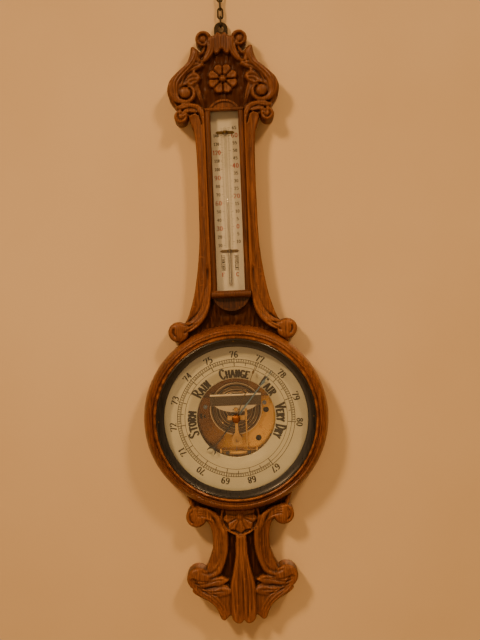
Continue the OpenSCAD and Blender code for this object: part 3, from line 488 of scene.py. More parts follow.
def carved_surface(shell, grid):
    """Adds the carved front to the shell and returns its boundary loops, longest first."""
    xs, zs, height, field, _ = grid
    solid = field > 0
    number = np.full(field.shape, -1)
    ii, jj = np.nonzero(solid)
    number[ii, jj] = shell.add(np.stack([xs[ii], zs[jj]], 1), height[ii, jj])
    corners = [solid[:-1, :-1], solid[1:, :-1], solid[1:, 1:], solid[:-1, 1:]]
    count = sum(c.astype(int) for c in corners)
    for i, j in zip(*np.nonzero(count == 4)):
        shell.faces.append((number[i, j], number[i + 1, j], number[i + 1, j + 1],
                            number[i, j + 1]))
    cut, follows = {}, {}

    def crossing(a, b):
        """The vertex where the boundary crosses between two grid points."""
        key = (a, b) if a < b else (b, a)
        if key not in cut:
            t = min(max(field[a] / (field[a] - field[b]), 0.02), 0.98)
            spot = [(xs[a[0]] * (1 - t) + xs[b[0]] * t, zs[a[1]] * (1 - t) + zs[b[1]] * t)]
            cut[key] = shell.add(spot, height[a] * (1 - t) + height[b] * t)[0]
        return cut[key]

    for i, j in zip(*np.nonzero((count > 0) & (count < 4))):
        ring = [(i, j), (i + 1, j), (i + 1, j + 1), (i, j + 1)]
        face, left = [], None
        for a, b in zip(ring, ring[1:] + ring[:1]):
            if solid[a]:
                face.append(number[a])
            if solid[a] != solid[b]:
                new = crossing(a, b) if solid[a] else crossing(b, a)
                face.append(new)
                if solid[a]:
                    left = new
                elif left is not None:
                    follows[left] = new
                    left = None
                else:
                    first_in = new
        if left is not None:
            follows[left] = first_in
        shell.faces.append(tuple(face))
    loops = []
    while follows:
        start, here = next(iter(follows.items()))
        del follows[start]
        loop = [start]
        while here != start:
            loop.append(here)
            here = follows.pop(here)
        loops.append(loop)
    return sorted(loops, key=len, reverse=True)


def edge_and_back(shell, outer, rebate):
    """The board's edge and flat back, with the hanger recess open at the top."""
    half, low, deep = HANGER
    xz = shell.places(outer)
    over = (np.abs(xz[:, 0]) <= half) & (xz[:, 1] > low)
    first = next(k for k in range(len(outer)) if over[k] and not over[k - 1])
    outer = outer[first:] + outer[:first]
    count = over.sum()
    across, around = outer[:count], outer[count - 1:] + outer[:1]
    for end in (across[0], across[-1]):
        x, z, height = shell.points[end]
        shell.points[end] = (math.copysign(half, x), z, height)
    recess_top = shell.add(shell.places(across), deep)
    back_edge = shell.add(shell.places(around), 0)
    shell.wall(across, recess_top, closed=False)
    shell.wall(around, back_edge, closed=False)
    ends = [back_edge[0], back_edge[-1]]
    corners = [(math.copysign(half, shell.points[e][0]), low) for e in ends]
    feet = shell.add(corners, deep)
    heels = shell.add(corners, 0)
    shell.faces += [(ends[0], heels[0], feet[0], recess_top[-1]),
                    (ends[1], recess_top[0], feet[1], heels[1]),
                    (heels[0], heels[1], feet[1], feet[0]),
                    (across[-1], ends[0], recess_top[-1]),
                    (across[0], recess_top[0], ends[1])]
    shell.sheet(recess_top + feet)
    shell.sheet(back_edge + heels[::-1], [rebate])


def board_shell(grid):
    """The whole board: carved front, edge, flat back, bore, thermometer pocket, hanger recess."""
    shell = Shell()
    outer, rim, seat = carved_surface(shell, grid)
    # front: seat of the thermometer frame with its pocket, and the flat under the ring
    half, low, high, floor = POCKET
    lip = shell.add(box_points(half, low, high), GROUND)
    bed = shell.add(box_points(half, low, high), floor)
    shell.sheet(seat, [lip])
    shell.wall(lip, bed)
    shell.sheet(bed)
    bore_front = shell.add(ring_points(BORE), GROUND)
    shell.sheet(rim, [bore_front])
    # bore and the shallow rebate of the back cover
    cover_r, cover_deep = COVER_REBATE
    bore_back = shell.add(ring_points(BORE), cover_deep)
    rebate_in = shell.add(ring_points(cover_r), cover_deep)
    rebate_out = shell.add(ring_points(cover_r), 0)
    shell.wall(bore_front, bore_back)
    shell.sheet(rebate_in, [bore_back])
    shell.wall(rebate_in, rebate_out)
    edge_and_back(shell, outer, rebate_out)
    return shell


def board_mesh(name, shell):
    """A mesh in metres from a shell, its faces turned outwards."""
    at = np.array(shell.points)
    verts = np.stack([at[:, 0], -at[:, 2], at[:, 1]], 1) * MM
    mesh = new_mesh(name, verts.tolist(), [tuple(int(v) for v in f) for f in shell.faces])
    turned_faces(mesh, lambda bm: bmesh.ops.recalc_face_normals(bm, faces=bm.faces))
    mesh.shade_smooth()
    return mesh


def wear(mesh, grid):
    """Stores where the carving is hollow (red), proud (green) or lowered ground (blue): masks for dirt
    and painted shade in the hollows and on the ground, and for painted highlights on proud parts.
    """
    xs, zs, height, _, depth = grid
    broad = height
    for _ in range(26):
        broad = soften(broad)
    co = np.zeros(len(mesh.vertices) * 3)
    mesh.vertices.foreach_get("co", co)
    co = co.reshape(-1, 3) / MM
    i = np.clip(np.rint((co[:, 0] - xs[0]) / STEP).astype(int), 0, len(xs) - 1)
    j = np.clip(np.rint((co[:, 2] - zs[0]) / STEP).astype(int), 0, len(zs) - 1)
    front = (-co[:, 1] > LOWEST + 0.5) & (depth[i, j] > -1)
    proud = (height - broad)[i, j]
    ringed = np.hypot(co[:, 0], co[:, 2]) < RING + 1
    low = (height[i, j] < GROUND + 2.4) & front & ~ringed & (depth[i, j] > 4)
    tone = np.ones((len(co), 4))
    # red: hollows, where dirt and painted shade go
    tone[:, 0] = np.clip(-proud / 2.4, 0, 1) * front
    # green: proud parts, where a painted highlight goes
    tone[:, 1] = np.clip(proud / 3.0, 0, 1) * front
    # blue: lowered ground, where dirt and painted shade go
    tone[:, 2] = low * smooth(GROUND + 4.2, GROUND + 2.2, broad[i, j])
    layer = mesh.color_attributes.new("carving", "FLOAT_COLOR", "POINT")
    layer.data.foreach_set("color", tone.ravel())


# ---- materials ----

def scaled(colour, factor):
    """A colour made darker or lighter."""
    return tuple(min(1, c * factor) for c in colour)


class Paint:
    """A procedural material: a Principled shader and the nodes that feed it."""

    def __init__(self, name, **fixed):
        self.material = bpy.data.materials.new(name)
        self.material.use_nodes = True
        self.tree = self.material.node_tree
        self.shader = self.tree.nodes["Principled BSDF"]
        self.surface = self.tree.nodes["Material Output"].inputs["Surface"]
        for socket, value in fixed.items():
            self.shader.inputs[socket.replace("_", " ")].default_value = value
        self.place = self.node("ShaderNodeTexCoord").outputs["Object"]

    def node(self, kind, inputs=None, **settings):
        made = self.tree.nodes.new(kind)
        for key, value in settings.items():
            setattr(made, key, value)
        for key, value in (inputs or {}).items():
            if isinstance(value, bpy.types.NodeSocket):
                self.tree.links.new(value, made.inputs[key])
            else:
                made.inputs[key].default_value = value
        return made

    def use(self, socket, value):
        self.tree.links.new(value, self.shader.inputs[socket])

    def axes(self):
        """The place's X, Y and Z."""
        return self.node("ShaderNodeSeparateXYZ", {0: self.place}).outputs

    def stretched(self, stretch):
        return self.node("ShaderNodeMapping", {"Vector": self.place, "Scale": stretch}).outputs[0]

    def noise(self, scale, stretch=(1, 1, 1), detail=3.0, distortion=0.0):
        return self.node("ShaderNodeTexNoise", {
            "Vector": self.stretched(stretch), "Scale": scale, "Detail": detail,
            "Distortion": distortion}).outputs["Fac"]

    def spread(self, value, low, high, to_low=0.0, to_high=1.0):
        """The value's span from low to high, moved to another span and cut off there."""
        return self.node("ShaderNodeMapRange", {
            "Value": value, "From Min": low, "From Max": high, "To Min": to_low,
            "To Max": to_high}).outputs[0]

    def uneven(self, noise, low, high):
        """Values between low and high, from a noise."""
        return self.spread(noise, 0.3, 0.7, low, high)

    def math(self, operation, a, b):
        return self.node("ShaderNodeMath", {0: a, 1: b}, operation=operation).outputs[0]

    def plus(self, a, b):
        return self.math("ADD", a, b)

    def times(self, a, b):
        return self.math("MULTIPLY", a, b)

    def ramp(self, value, stops):
        """Colours at positions along a value."""
        made = self.node("ShaderNodeValToRGB", {"Fac": value})
        points = made.color_ramp.elements
        while len(points) < len(stops):
            points.new(0.5)
        for point, (at, colour) in zip(points, stops):
            point.position = at
            point.color = (*colour, 1)
        return made.outputs["Color"]

    def mix(self, share, a, b):
        """Colour a, with a share of colour b."""
        colours = [c if isinstance(c, bpy.types.NodeSocket) else (*c, 1) for c in (a, b)]
        return self.node("ShaderNodeMix", {0: share, 6: colours[0], 7: colours[1]},
                         data_type="RGBA").outputs[2]

    def patches(self, colour, over, noise, low, high, most=1.0):
        """A colour, covered by another where a noise runs from low to high."""
        return self.mix(self.spread(noise, low, high, 0, most), colour, over)

    def radius(self, middle_z=0.0):
        """Distance from an axis that runs from back to front."""
        flat = self.node("ShaderNodeMapping", {
            "Vector": self.place, "Location": (0, 0, -middle_z), "Scale": (1, 0, 1)}).outputs[0]
        return self.node("ShaderNodeVectorMath", {0: flat}, operation="LENGTH").outputs["Value"]

    def noise_round(self, scale, out_scale):
        """Noise whose streaks run outwards from the dial's axis."""
        x, _, z = self.axes()
        polar = self.node("ShaderNodeCombineXYZ", {
            "X": self.times(self.math("ARCTAN2", z, x), 3.0),
            "Y": self.times(self.radius(), out_scale)}).outputs[0]
        return self.node("ShaderNodeTexNoise", {"Vector": polar, "Scale": scale,
                                                "Detail": 4.0}).outputs["Fac"]

    def finish(self, colour, rough, relief=None, depth=0.00004, strength=0.4):
        """Connects colour, roughness and relief (in metres). Returns the material."""
        self.use("Base Color", colour)
        self.use("Roughness", rough)
        if relief is not None:
            bump = self.node("ShaderNodeBump", {"Height": relief, "Distance": depth,
                                                "Strength": strength})
            self.use("Normal", bump.outputs[0])
        return self.material


def carved_tones(paint, colour, dark, light):
    """Darker hollows and ground from dirt and painted shade, painted highlights on proud crests, and
    painted shade over the top of the board.
    """
    tones = paint.node("ShaderNodeAttribute", attribute_name="carving").outputs["Color"]
    hollow, proud, ground = paint.node("ShaderNodeSeparateColor", {0: tones}).outputs
    # the dark tone of dirt and painted shade in the hollows and on the lowered ground
    dirt_and_shade = tuple(c * f for c, f in zip(dark, (0.34, 0.30, 0.36)))
    painted_shade_top_z = (0.30, 0.47)
    paint.use("Specular IOR Level", paint.spread(ground, 0.0, 1.0, 0.38, 0.10))
    # hollows darkened: dirt, and painted shade
    colour = paint.patches(colour, dirt_and_shade, hollow, 0.03, 0.5, 0.93)
    # lowered ground darkened: dirt, and painted shade
    colour = paint.mix(paint.times(ground, 0.86), colour, dirt_and_shade)
    # painted highlight on the proud crests of the carving
    colour = paint.mix(paint.times(proud, 0.42), colour, scaled(light, 1.15))
    # painted shade over the top of the board, where less light falls
    return paint.patches(colour, dark, paint.axes()["Z"], *painted_shade_top_z, 0.46)


BEAD_R = 0.1134     # outer radius of the turned ring's inner bead, in metres


def bead_tones(paint, colour, dark, light):
    """Painted highlights and painted shade in streaks across the bead inside the turned ring."""
    streak = paint.noise_round(3.4, 0.30)
    within = paint.spread(paint.radius(), BEAD_R, BEAD_R - 0.0006)
    # painted highlight streaks first, then painted shade streaks
    for over, low, high, most in ((scaled(light, 1.15), 0.44, 0.62, 0.55),
                                  (dark, 0.50, 0.36, 0.45)):
        share = paint.times(within, paint.spread(streak, low, high, 0.0, most))
        colour = paint.mix(share, colour, over)
    return colour


def oak(name, dark, middle, light, rough=0.46, coat=0.08, rings=90.0, tones=None):
    """Oak with upright grain: growth rings, fibres, open pores and pale flecks."""
    paint = Paint(name, Coat_Weight=coat, Coat_Roughness=0.28, Specular_IOR_Level=0.38)
    ring = paint.node("ShaderNodeTexWave", {
        "Vector": paint.stretched((1, 1, 0.07)), "Scale": rings, "Distortion": 16.0,
        "Detail": 4.0, "Detail Scale": 1.6, "Detail Roughness": 0.7},
        bands_direction="X").outputs["Fac"]
    fibre = paint.noise(820, (1, 1, 0.022))
    tone = paint.noise(11, (1, 1, 0.45), 3, 0.6)
    grain = paint.plus(paint.times(ring, 0.13),
                       paint.plus(paint.times(fibre, 0.50), paint.times(tone, 0.50)))
    colour = paint.ramp(grain, [(0.36, dark), (0.56, middle), (0.76, light)])
    pore = paint.spread(paint.noise(1500, (1, 1, 0.035), 2), 0.57, 0.66)
    colour = paint.mix(paint.times(pore, 0.62), colour, scaled(dark, 0.22))
    streaks = paint.noise(480, (1, 1, 0.030), 2, 0.3)
    colour = paint.patches(colour, dark, streaks, 0.50, 0.66, 0.52)
    flecks = paint.noise(330, (0.32, 1, 1.0), 1.5, 0.4)
    colour = paint.patches(colour, scaled(light, 1.35), flecks, 0.66, 0.72, 0.22)
    grime = paint.noise(46, (1, 1, 0.6), 4)
    colour = paint.patches(colour, scaled(dark, 0.5), grime, 0.42, 0.70, 0.28)
    if tones:
        colour = tones(paint, colour, dark, light)
    relief = paint.math("SUBTRACT", paint.times(fibre, 0.5), pore)
    return paint.finish(colour, paint.uneven(fibre, rough - 0.07, rough + 0.12), relief,
                        0.00022, 0.55)


def metal(name, colour, rough, tarnish, stain=0.35, mottle=60.0):
    """A metal with faint scratches, uneven polish and patches of tarnish."""
    paint = Paint(name, Metallic=1.0)
    patch = paint.noise(mottle, detail=5, distortion=0.5)
    fine = paint.noise(1100, (1, 1, 0.12), 2)
    tint = paint.patches(colour, tarnish, patch, 0.46, 0.74, stain)
    tint = paint.patches(tint, scaled(colour, 1.2), fine, 0.55, 0.75, 0.25)
    dull = paint.plus(paint.uneven(patch, rough - 0.06, rough + 0.14),
                      paint.spread(fine, 0.4, 0.7, 0, 0.06))
    return paint.finish(tint, dull, fine)


def plate_brass():
    """Lacquered brass with painted shade towards the left and the top and a painted highlight towards
    the lower right.
    """
    paint = Paint("brass plate painted light", Metallic=1.0)
    x, _, z = paint.axes()
    cloud = paint.noise(30, detail=4, distortion=0.5)
    share = paint.plus(paint.times(paint.math("SUBTRACT", x, z), 9.0), cloud)
    # painted shade towards the upper left, painted highlight towards the lower right
    colour = paint.ramp(share, [(0.10, (0.13, 0.050, 0.008)), (0.55, (0.24, 0.105, 0.018)),
                                (0.95, (0.62, 0.33, 0.065)), (1.0, (0.75, 0.42, 0.090))])
    fine = paint.noise(700, (1, 1, 0.5), 2)
    colour = paint.patches(colour, (0.55, 0.32, 0.09), fine, 0.55, 0.75, 0.08)
    return paint.finish(colour, paint.uneven(cloud, 0.20, 0.34), fine)


def capsule_metal(middle_z, first, pitch):
    """Thin sheet, toned brown, with painted highlights in rings along their crests.

    middle_z is the height of the capsule's axis, first the innermost crest's radius, and pitch
    the distance between crests, all in metres.
    """
    paint = Paint("capsule", Metallic=1.0)
    turns = paint.times(paint.math("SUBTRACT", paint.radius(middle_z), first), 2 * math.pi / pitch)
    cloud = paint.noise(70, detail=4)
    colour = paint.mix(cloud, (0.150, 0.085, 0.034), (0.24, 0.150, 0.070))
    # painted highlights along the crests of the corrugations
    colour = paint.patches(colour, (0.80, 0.66, 0.42), paint.math("COSINE", turns, 0), 0.6, 1.0)
    return paint.finish(colour, paint.uneven(cloud, 0.26, 0.40), paint.noise(700, detail=2),
                        0.00003)


def pointer_steel():
    """Blued steel: dark at the tail, with a painted blue highlight along its long arm."""
    paint = Paint("pointer steel painted light", Metallic=1.0)
    x, _, z = paint.axes()
    fine = paint.noise(500)
    # painted highlight: bright blue over the long arm, the dark steel left at the tail
    colour = paint.patches((0.030, 0.030, 0.030), (0.15, 0.26, 0.35), paint.plus(x, z), 0.0, 0.03)
    colour = paint.patches(colour, (0.05, 0.06, 0.08), fine, 0.4, 0.7, 0.4)
    return paint.finish(colour, paint.uneven(fine, 0.16, 0.30))


def spring_steel():
    """A leaf spring: dark flat, a painted highlight on its rounded top edge and a pale polished lower
    lip that is partly a painted highlight.
    """
    paint = Paint("mainspring", Metallic=1.0)
    z = paint.axes()["Z"]
    fine = paint.noise(900, (0.1, 1, 1))
    dark = paint.mix(fine, (0.078, 0.054, 0.032), (0.105, 0.076, 0.048))
    pale = paint.mix(fine, (0.62, 0.52, 0.36), (0.78, 0.68, 0.50))
    lip, top_edge_highlight = (0.0174, 0.0166), (0.0300, 0.0310)      # heights where each tone comes in
    # paler lower lip: polish, and partly a painted highlight
    colour = paint.patches(dark, pale, z, *lip)
    # painted highlight along the rounded top edge
    colour = paint.patches(colour, (0.86, 0.74, 0.54), z, *top_edge_highlight)
    return paint.finish(colour, paint.uneven(fine, 0.30, 0.44), fine)


def glazed(name, colour, stain, rough=0.16, coat=0.6, speck=0.25):
    """A glazed or enamelled surface: slightly uneven colour, fine specks, a clear coat."""
    paint = Paint(name, Coat_Weight=coat, Coat_Roughness=0.06, IOR=1.5)
    cloud = paint.noise(28, detail=4, distortion=0.4)
    tint = paint.patches(colour, stain, cloud, 0.35, 0.75, 0.55)
    tint = paint.patches(tint, scaled(stain, 0.45), paint.noise(900, detail=2), 0.68, 0.76, speck)
    return paint.finish(tint, paint.uneven(cloud, rough, rough + 0.1),
                        paint.noise(120, detail=2), 0.0001, 0.12)


def painted(name, colour, rough, vary, scale, sheen=0.0):
    """Ink, card or paint: a matt colour that varies a little."""
    paint = Paint(name, Sheen_Weight=sheen)
    blot = paint.noise(scale)
    paler = tuple(min(1, c * 1.9 + 0.01) for c in colour)
    return paint.finish(paint.patches(colour, paler, blot, 0.35, 0.7, vary),
                        paint.uneven(blot, rough - 0.08, rough + 0.1), blot, 0.00003, 0.3)


def ebonised(name):
    """Black french polish over turned wood: faint grain, soft gloss, a few worn specks."""
    paint = Paint(name, Coat_Weight=0.5, Coat_Roughness=0.16)
    grain = paint.noise(700, (1, 1, 0.04))
    tint = paint.patches((0.006, 0.006, 0.007), (0.020, 0.017, 0.016), grain, 0.4, 0.7)
    tint = paint.patches(tint, (0.05, 0.035, 0.025), paint.noise(170, detail=4), 0.64, 0.78, 0.5)
    return paint.finish(tint, paint.uneven(grain, 0.26, 0.42), grain, 0.00006, 0.5)


def glass(name, tint, painted_rim_shade=None, gloss=1.45, rough=0.01):
    """Clear glass: what is behind it shows through, with reflections that grow at the edges."""
    paint = Paint(name)
    smear = paint.noise(40)
    colour = paint.patches(tint, scaled(tint, 0.97), smear, 0.4, 0.8, 0.5)
    # painted shade: the rims are tinted darker where the surface turns away
    if painted_rim_shade:
        facing = paint.node("ShaderNodeLayerWeight", {"Blend": 0.45}).outputs["Facing"]
        colour = paint.patches(colour, painted_rim_shade, facing, 0.7, 0.95)
    clear = paint.node("ShaderNodeBsdfTransparent", {"Color": colour}).outputs[0]
    shine = paint.node("ShaderNodeBsdfGlossy", {
        "Color": (1, 1, 1, 1),
        "Roughness": paint.spread(smear, 0.3, 0.8, rough, rough + 0.04)}).outputs[0]
    slant = paint.node("ShaderNodeLayerWeight", {"Blend": 0.5}).outputs["Facing"]
    share = paint.plus(paint.times(paint.math("POWER", slant, 5.0), 0.85),
                       ((gloss - 1) / (gloss + 1)) ** 2)
    both = paint.node("ShaderNodeMixShader", {0: share, 1: clear, 2: shine}).outputs[0]
    paint.tree.links.new(both, paint.surface)
    paint.tree.nodes.remove(paint.shader)
    return paint.material


def mercury():
    """Mercury seen through its glass: a silvery, softly shining thread."""
    paint = Paint("mercury", Metallic=0.9)
    skin = paint.noise(300, (1, 1, 0.3), 2)
    return paint.finish(paint.mix(skin, (0.62, 0.60, 0.56), (0.80, 0.78, 0.74)),
                        paint.uneven(skin, 0.14, 0.24))


# dark, middle and light colours of each oak
OAK = (0.070, 0.0175, 0.0024), (0.205, 0.063, 0.0092), (0.40, 0.146, 0.0270)
TURNED = (0.075, 0.0190, 0.0027), (0.215, 0.066, 0.0092), (0.40, 0.146, 0.0260)
FRAME = (0.050, 0.0125, 0.0018), (0.135, 0.040, 0.0056), (0.25, 0.084, 0.0140)
# a darker copy of the frame's oak: painted shade on the apron under the sill
APRON_SHADED = (0.030, 0.008, 0.0015), (0.080, 0.023, 0.0035), (0.16, 0.050, 0.0085)
BEECH = (0.25, 0.13, 0.06), (0.40, 0.23, 0.11), (0.52, 0.33, 0.18)
MATERIALS = {
    "carved_oak": oak("oak", *OAK),
    "carved_board": oak("oak carved", *OAK, tones=carved_tones),
    "turned_oak": oak("oak turned", *TURNED, 0.34, 0.3, 80.0, bead_tones),
    "frame_oak": oak("oak frame", *FRAME, rings=70.0),
    # painted shade: the apron's darker oak
    "apron_oak_shaded": oak("oak apron shaded", *APRON_SHADED, rings=70.0),
    "ebonised_wood": ebonised("ebonised wood"),
    "beech": oak("beech", *BEECH, 0.6, 0.0),
    "brass": metal("brass", (0.58, 0.34, 0.095), 0.24, (0.28, 0.13, 0.03)),
    "plate_brass": plate_brass(),
    "brass_old": metal("brass old", (0.17, 0.105, 0.035), 0.38, (0.06, 0.034, 0.012), 0.7),
    "knob_brass": metal("brass knob", (0.34, 0.130, 0.034), 0.42, (0.13, 0.045, 0.012), 0.5, 200),
    # a lighter copy of brass: painted highlight on the rocker frame
    "brass_painted_highlight": metal("brass with painted highlight", (0.86, 0.52, 0.14), 0.16, (0.5, 0.26, 0.06)),
    "pointer_steel": pointer_steel(),
    "steel": metal("steel", (0.20, 0.20, 0.20), 0.34, (0.08, 0.07, 0.06)),
    "spring_steel": spring_steel(),
    "dark_steel": metal("dark steel", (0.060, 0.056, 0.052), 0.4, (0.03, 0.025, 0.02)),
    "blued_steel": metal("blued steel", (0.13, 0.155, 0.19), 0.2, (0.03, 0.035, 0.045)),
    "nickel_silver": metal("nickel silver", (0.36, 0.32, 0.26), 0.22, (0.18, 0.15, 0.11)),
    "capsule": capsule_metal(0.0115, 0.005, 0.0044),
    "dark_iron": metal("dark iron", (0.050, 0.042, 0.030), 0.42, (0.10, 0.050, 0.020), 0.6, 220),
    # tinplate made near black: painted shade inside the movement housing, seen through the plate's holes
    "tinplate": metal("tinplate", (0.045, 0.036, 0.026), 0.5, (0.02, 0.016, 0.012)),
    "mercury": mercury(),
    "clear_glass": glass("clear glass", (0.985, 0.992, 0.985)),
    # tube glass: painted shade at its rims
    "tube_glass": glass("tube glass", (1.0, 1.0, 0.99), (0.42, 0.40, 0.35), 1.8, 0.12),
    "opal_glass": glazed("opal glass", (0.74, 0.70, 0.60), (0.66, 0.60, 0.47), 0.2, 0.4, 0.1),
    "porcelain": glazed("porcelain", (0.60, 0.575, 0.41), (0.50, 0.465, 0.31)),
    "black_card": painted("black card", (0.012, 0.012, 0.012), 0.8, 0.4, 500.0, 0.2),
}
INK = painted("ink", (0.010, 0.007, 0.005), 0.5, 0.3, 900.0)
RED_INK = painted("red ink", (0.50, 0.030, 0.012), 0.45, 0.3, 900.0)


# ---- pieces ----

def new_mesh(name, verts, faces):
    mesh = bpy.data.meshes.new(name)
    mesh.from_pydata(verts, [], faces)
    return mesh


def turned_faces(mesh, turn):
    """Lets a function turn the faces of a mesh."""
    bm = bmesh.new()
    bm.from_mesh(mesh)
    turn(bm)
    bm.to_mesh(mesh)
    bm.free()


def placed(name, data):
    made = bpy.data.objects.new(name, data)
    bpy.context.collection.objects.link(made)
    return made


def piece(name, mesh, material, stands_for=(), body="case"):
    """A new visible piece that moves with a CAD body."""
    made = placed(name, mesh)
    mesh.materials.append(material)
    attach(made, body)
    if stands_for:
        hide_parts(*stands_for)


# nodes that look different from the rest of their material slot
SPECIAL = {"frame_oak": ("frame_lunette", "frame_sill", "frame_rail_top", "frame_stile_left",
                         "frame_stile_right"),
           "apron_oak_shaded": ("frame_apron",),
           "brass_old": ("thermometer_clips", "clip_pins", "set_hand", "sight_ring_pins"),
           "knob_brass": ("set_knob",), "plate_brass": ("movement_plate", "bridge"),
           "dark_steel": ("plate_screws",), "spring_steel": ("mainspring",),
           "capsule": ("capsule_front_diaphragm",), "brass_painted_highlight": ("rocker_frame",),
           "pointer_steel": ("pointer",)}
# widths of softened edges in millimetres; 0 leaves the edges crisp
CRISP = ("thermometer_tube", "mercury_column", "hairspring", "fusee_chain", "chain_link_1",
         "chain_link_2", "chain_link_3", "chain_link_4")
SOFT = {**dict.fromkeys(CRISP, 0), "dial_glass": 0.1, "thermometer_glass": 0.1, "pointer": 0.1,
        "set_hand": 0.08, "sight_ring": 0.4, "dial_surround": 0.5, "dial_ring": 0.25,
        "main_lever": 0.15, "lever_link": 0.1}
WOOD = ("frame_", "back_cover", "dial_backing")


def dress_frame():
    """Gives each CAD node its material, smooth shading and softened edges."""
    looks = {node: look for look, nodes in SPECIAL.items() for node in nodes}
    for row in frame["record"]["subparts"]:
        node = row["node"]
        thing = frame["nodes"][node]
        thing.data.materials.clear()
        thing.data.materials.append(MATERIALS[looks.get(node, row["material_slot"])])
        thing.data.shade_smooth()
        width = SOFT.get(node, 0.6 if node.startswith(WOOD) else 0.2)
        if width:
            bevel = thing.modifiers.new("softened edges", "BEVEL")
            bevel.width = width * MM
            bevel.segments = 2
            bevel.limit_method = "ANGLE"
            bevel.angle_limit = math.radians(38)
            bevel.harden_normals = True
        else:
            split = thing.modifiers.new("crisp edges", "EDGE_SPLIT")
            split.split_angle = math.radians(40)


def carved_board():
    grid = surface_grid()
    mesh = board_mesh("carved_board", board_shell(grid))
    mesh.set_sharp_from_angle(angle=math.radians(78))
    wear(mesh, grid)
    piece("carved_board", mesh, MATERIALS["carved_board"], ("backboard",))


def turned_rod(name, profile, node, count=32):
    """A round upright piece for one CAD node, from (radius, height) pairs, bottom to top."""
    low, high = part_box(node)
    middle = (low[1] + high[1]) / 2
    verts, faces = [], []
    for r, z in profile:
        for k in range(count):
            a = 2 * math.pi * k / count
            verts.append((r * MM * math.cos(a), middle + r * MM * math.sin(a), z * MM))
    for start in range(0, len(verts) - count, count):
        for k in range(count):
            a, b = start + k, start + (k + 1) % count
            faces.append((a, b, b + count, a + count))
    faces.append(tuple(reversed(range(count))))
    faces.append(tuple(range(len(verts) - count, len(verts))))
    mesh = new_mesh(name, verts, faces)
    mesh.shade_smooth()
    slot = next(r["material_slot"] for r in frame["record"]["subparts"] if r["node"] == node)
    piece(name, mesh, MATERIALS[slot], (node,))


def thermometer_glasswork():
    """The blown tube with its round ends, and the mercury in its bulb and bore."""
    turned_rod("blown_tube", [(0.3, 181.6), (1.4, 182.0), (2.1, 182.9), (2.4, 184.4), (2.4, 399.8),
                              (2.1, 401.1), (1.3, 401.8), (0.3, 402.0)], "thermometer_tube")
    turned_rod("mercury_thread", [(0.3, 183.1), (1.2, 183.4), (1.8, 184.3), (2.0, 185.6),
                                  (2.0, 223.0), (1.7, 226.0), (0.9, 228.5), (0.55, 231.0),
                                  (0.55, 303.4), (0.3, 303.9)], "mercury_column")


# ---- printed scales ----

def bar(*xz):
    """Straight pen lines through points: x and z in turn, in hundredths of the letter's height."""
    return np.reshape(xz, (-1, 2)) / 100


def bow(*xz):
    """A smooth pen line through points, given like a bar's."""
    return spline(bar(*xz), 5)


def loop(x, z, half_wide, half_high):
    """A closed oval, in the same hundredths."""
    a = np.linspace(0, 2 * math.pi, 25)
    return np.stack([x / 100 + half_wide / 100 * np.cos(a),
                     z / 100 + half_high / 100 * np.sin(a)], 1)


# each letter stands in a box 1 high and 0.62 wide, or as wide as WIDTHS says
GLYPHS = {
    "0": [loop(31, 50, 25, 48)],
    "1": [bar(12, 80, 34, 100, 34, 0), bar(14, 0, 54, 0)],
    "2": [bow(8, 74, 14, 94, 32, 100, 50, 92, 55, 74, 44, 48, 20, 20, 6, 2), bar(6, 2, 58, 2)],
    "3": [bow(8, 84, 20, 98, 38, 99, 52, 86, 50, 66, 26, 54), bow(26, 54, 50, 46, 57, 26, 46, 6,
          24, 0, 6, 14)],
    "4": [bar(44, 0, 44, 100, 4, 30, 60, 30)],
    "5": [bar(54, 100, 15, 100, 11, 56), bow(11, 56, 30, 63, 50, 54, 57, 30, 44, 6, 22, 0, 6, 12)],
    "6": [bow(50, 90, 34, 99, 16, 84, 7, 50, 9, 20, 24, 1, 42, 3, 55, 20, 53, 42, 38, 57, 20, 52,
          8, 34)],
    "7": [bar(6, 82, 6, 100, 58, 100, 24, 0)],
    "8": [loop(31, 76, 20, 23), loop(31, 27, 25, 26)],
    "9": [bow(12, 10, 28, 1, 46, 16, 55, 50, 53, 80, 38, 99, 20, 97, 7, 80, 9, 58, 24, 43, 42, 48,
          54, 66)],
    "A": [bar(0, 0, 30, 100, 62, 0), bar(10, 34, 50, 34)],
    "C": [bow(56, 80, 40, 99, 18, 90, 5, 50, 16, 12, 38, 0, 58, 20)],
    "D": [bar(10, 0, 10, 100), bow(0, 100, 28, 100, 54, 80, 60, 45, 44, 10, 22, 0, 0, 0)],
    "E": [bar(52, 90, 46, 100, 10, 100, 10, 0, 48, 0, 56, 12), bar(10, 52, 40, 52)],
    "F": [bar(54, 88, 48, 100, 10, 100, 10, 0), bar(10, 52, 40, 52)],
    "G": [bow(56, 82, 40, 99, 18, 90, 5, 50, 16, 12, 36, 0, 54, 12), bar(56, 0, 56, 44, 36, 44)],
    "H": [bar(8, 0, 8, 100), bar(54, 0, 54, 100), bar(8, 52, 54, 52)],
    "I": [bar(16, 0, 16, 100), bar(4, 100, 28, 100), bar(4, 0, 28, 0)],
    "M": [bar(6, 0, 8, 100, 37, 30, 66, 100, 70, 0)],
    "N": [bar(8, 0, 8, 100, 54, 0, 54, 100)],
    "O": [loop(32, 50, 27, 49)],
    "R": [bar(10, 0, 10, 100), bow(0, 100, 30, 100, 50, 88, 48, 62, 28, 50, 10, 50), bar(28, 50,
          60, 0)],
    "S": [bow(50, 84, 34, 100, 14, 92, 8, 72, 28, 53, 50, 34, 46, 8, 24, 0, 5, 18)],
    "T": [bar(30, 0, 30, 100), bar(0, 88, 4, 100, 58, 100, 62, 88)],
    "V": [bar(0, 100, 30, 0, 60, 100)],
    "Y": [bar(0, 100, 30, 48, 60, 100), bar(30, 48, 30, 0)],
}
WIDTHS = {"1": 0.58, "I": 0.32, "M": 0.78, " ": 0.34}


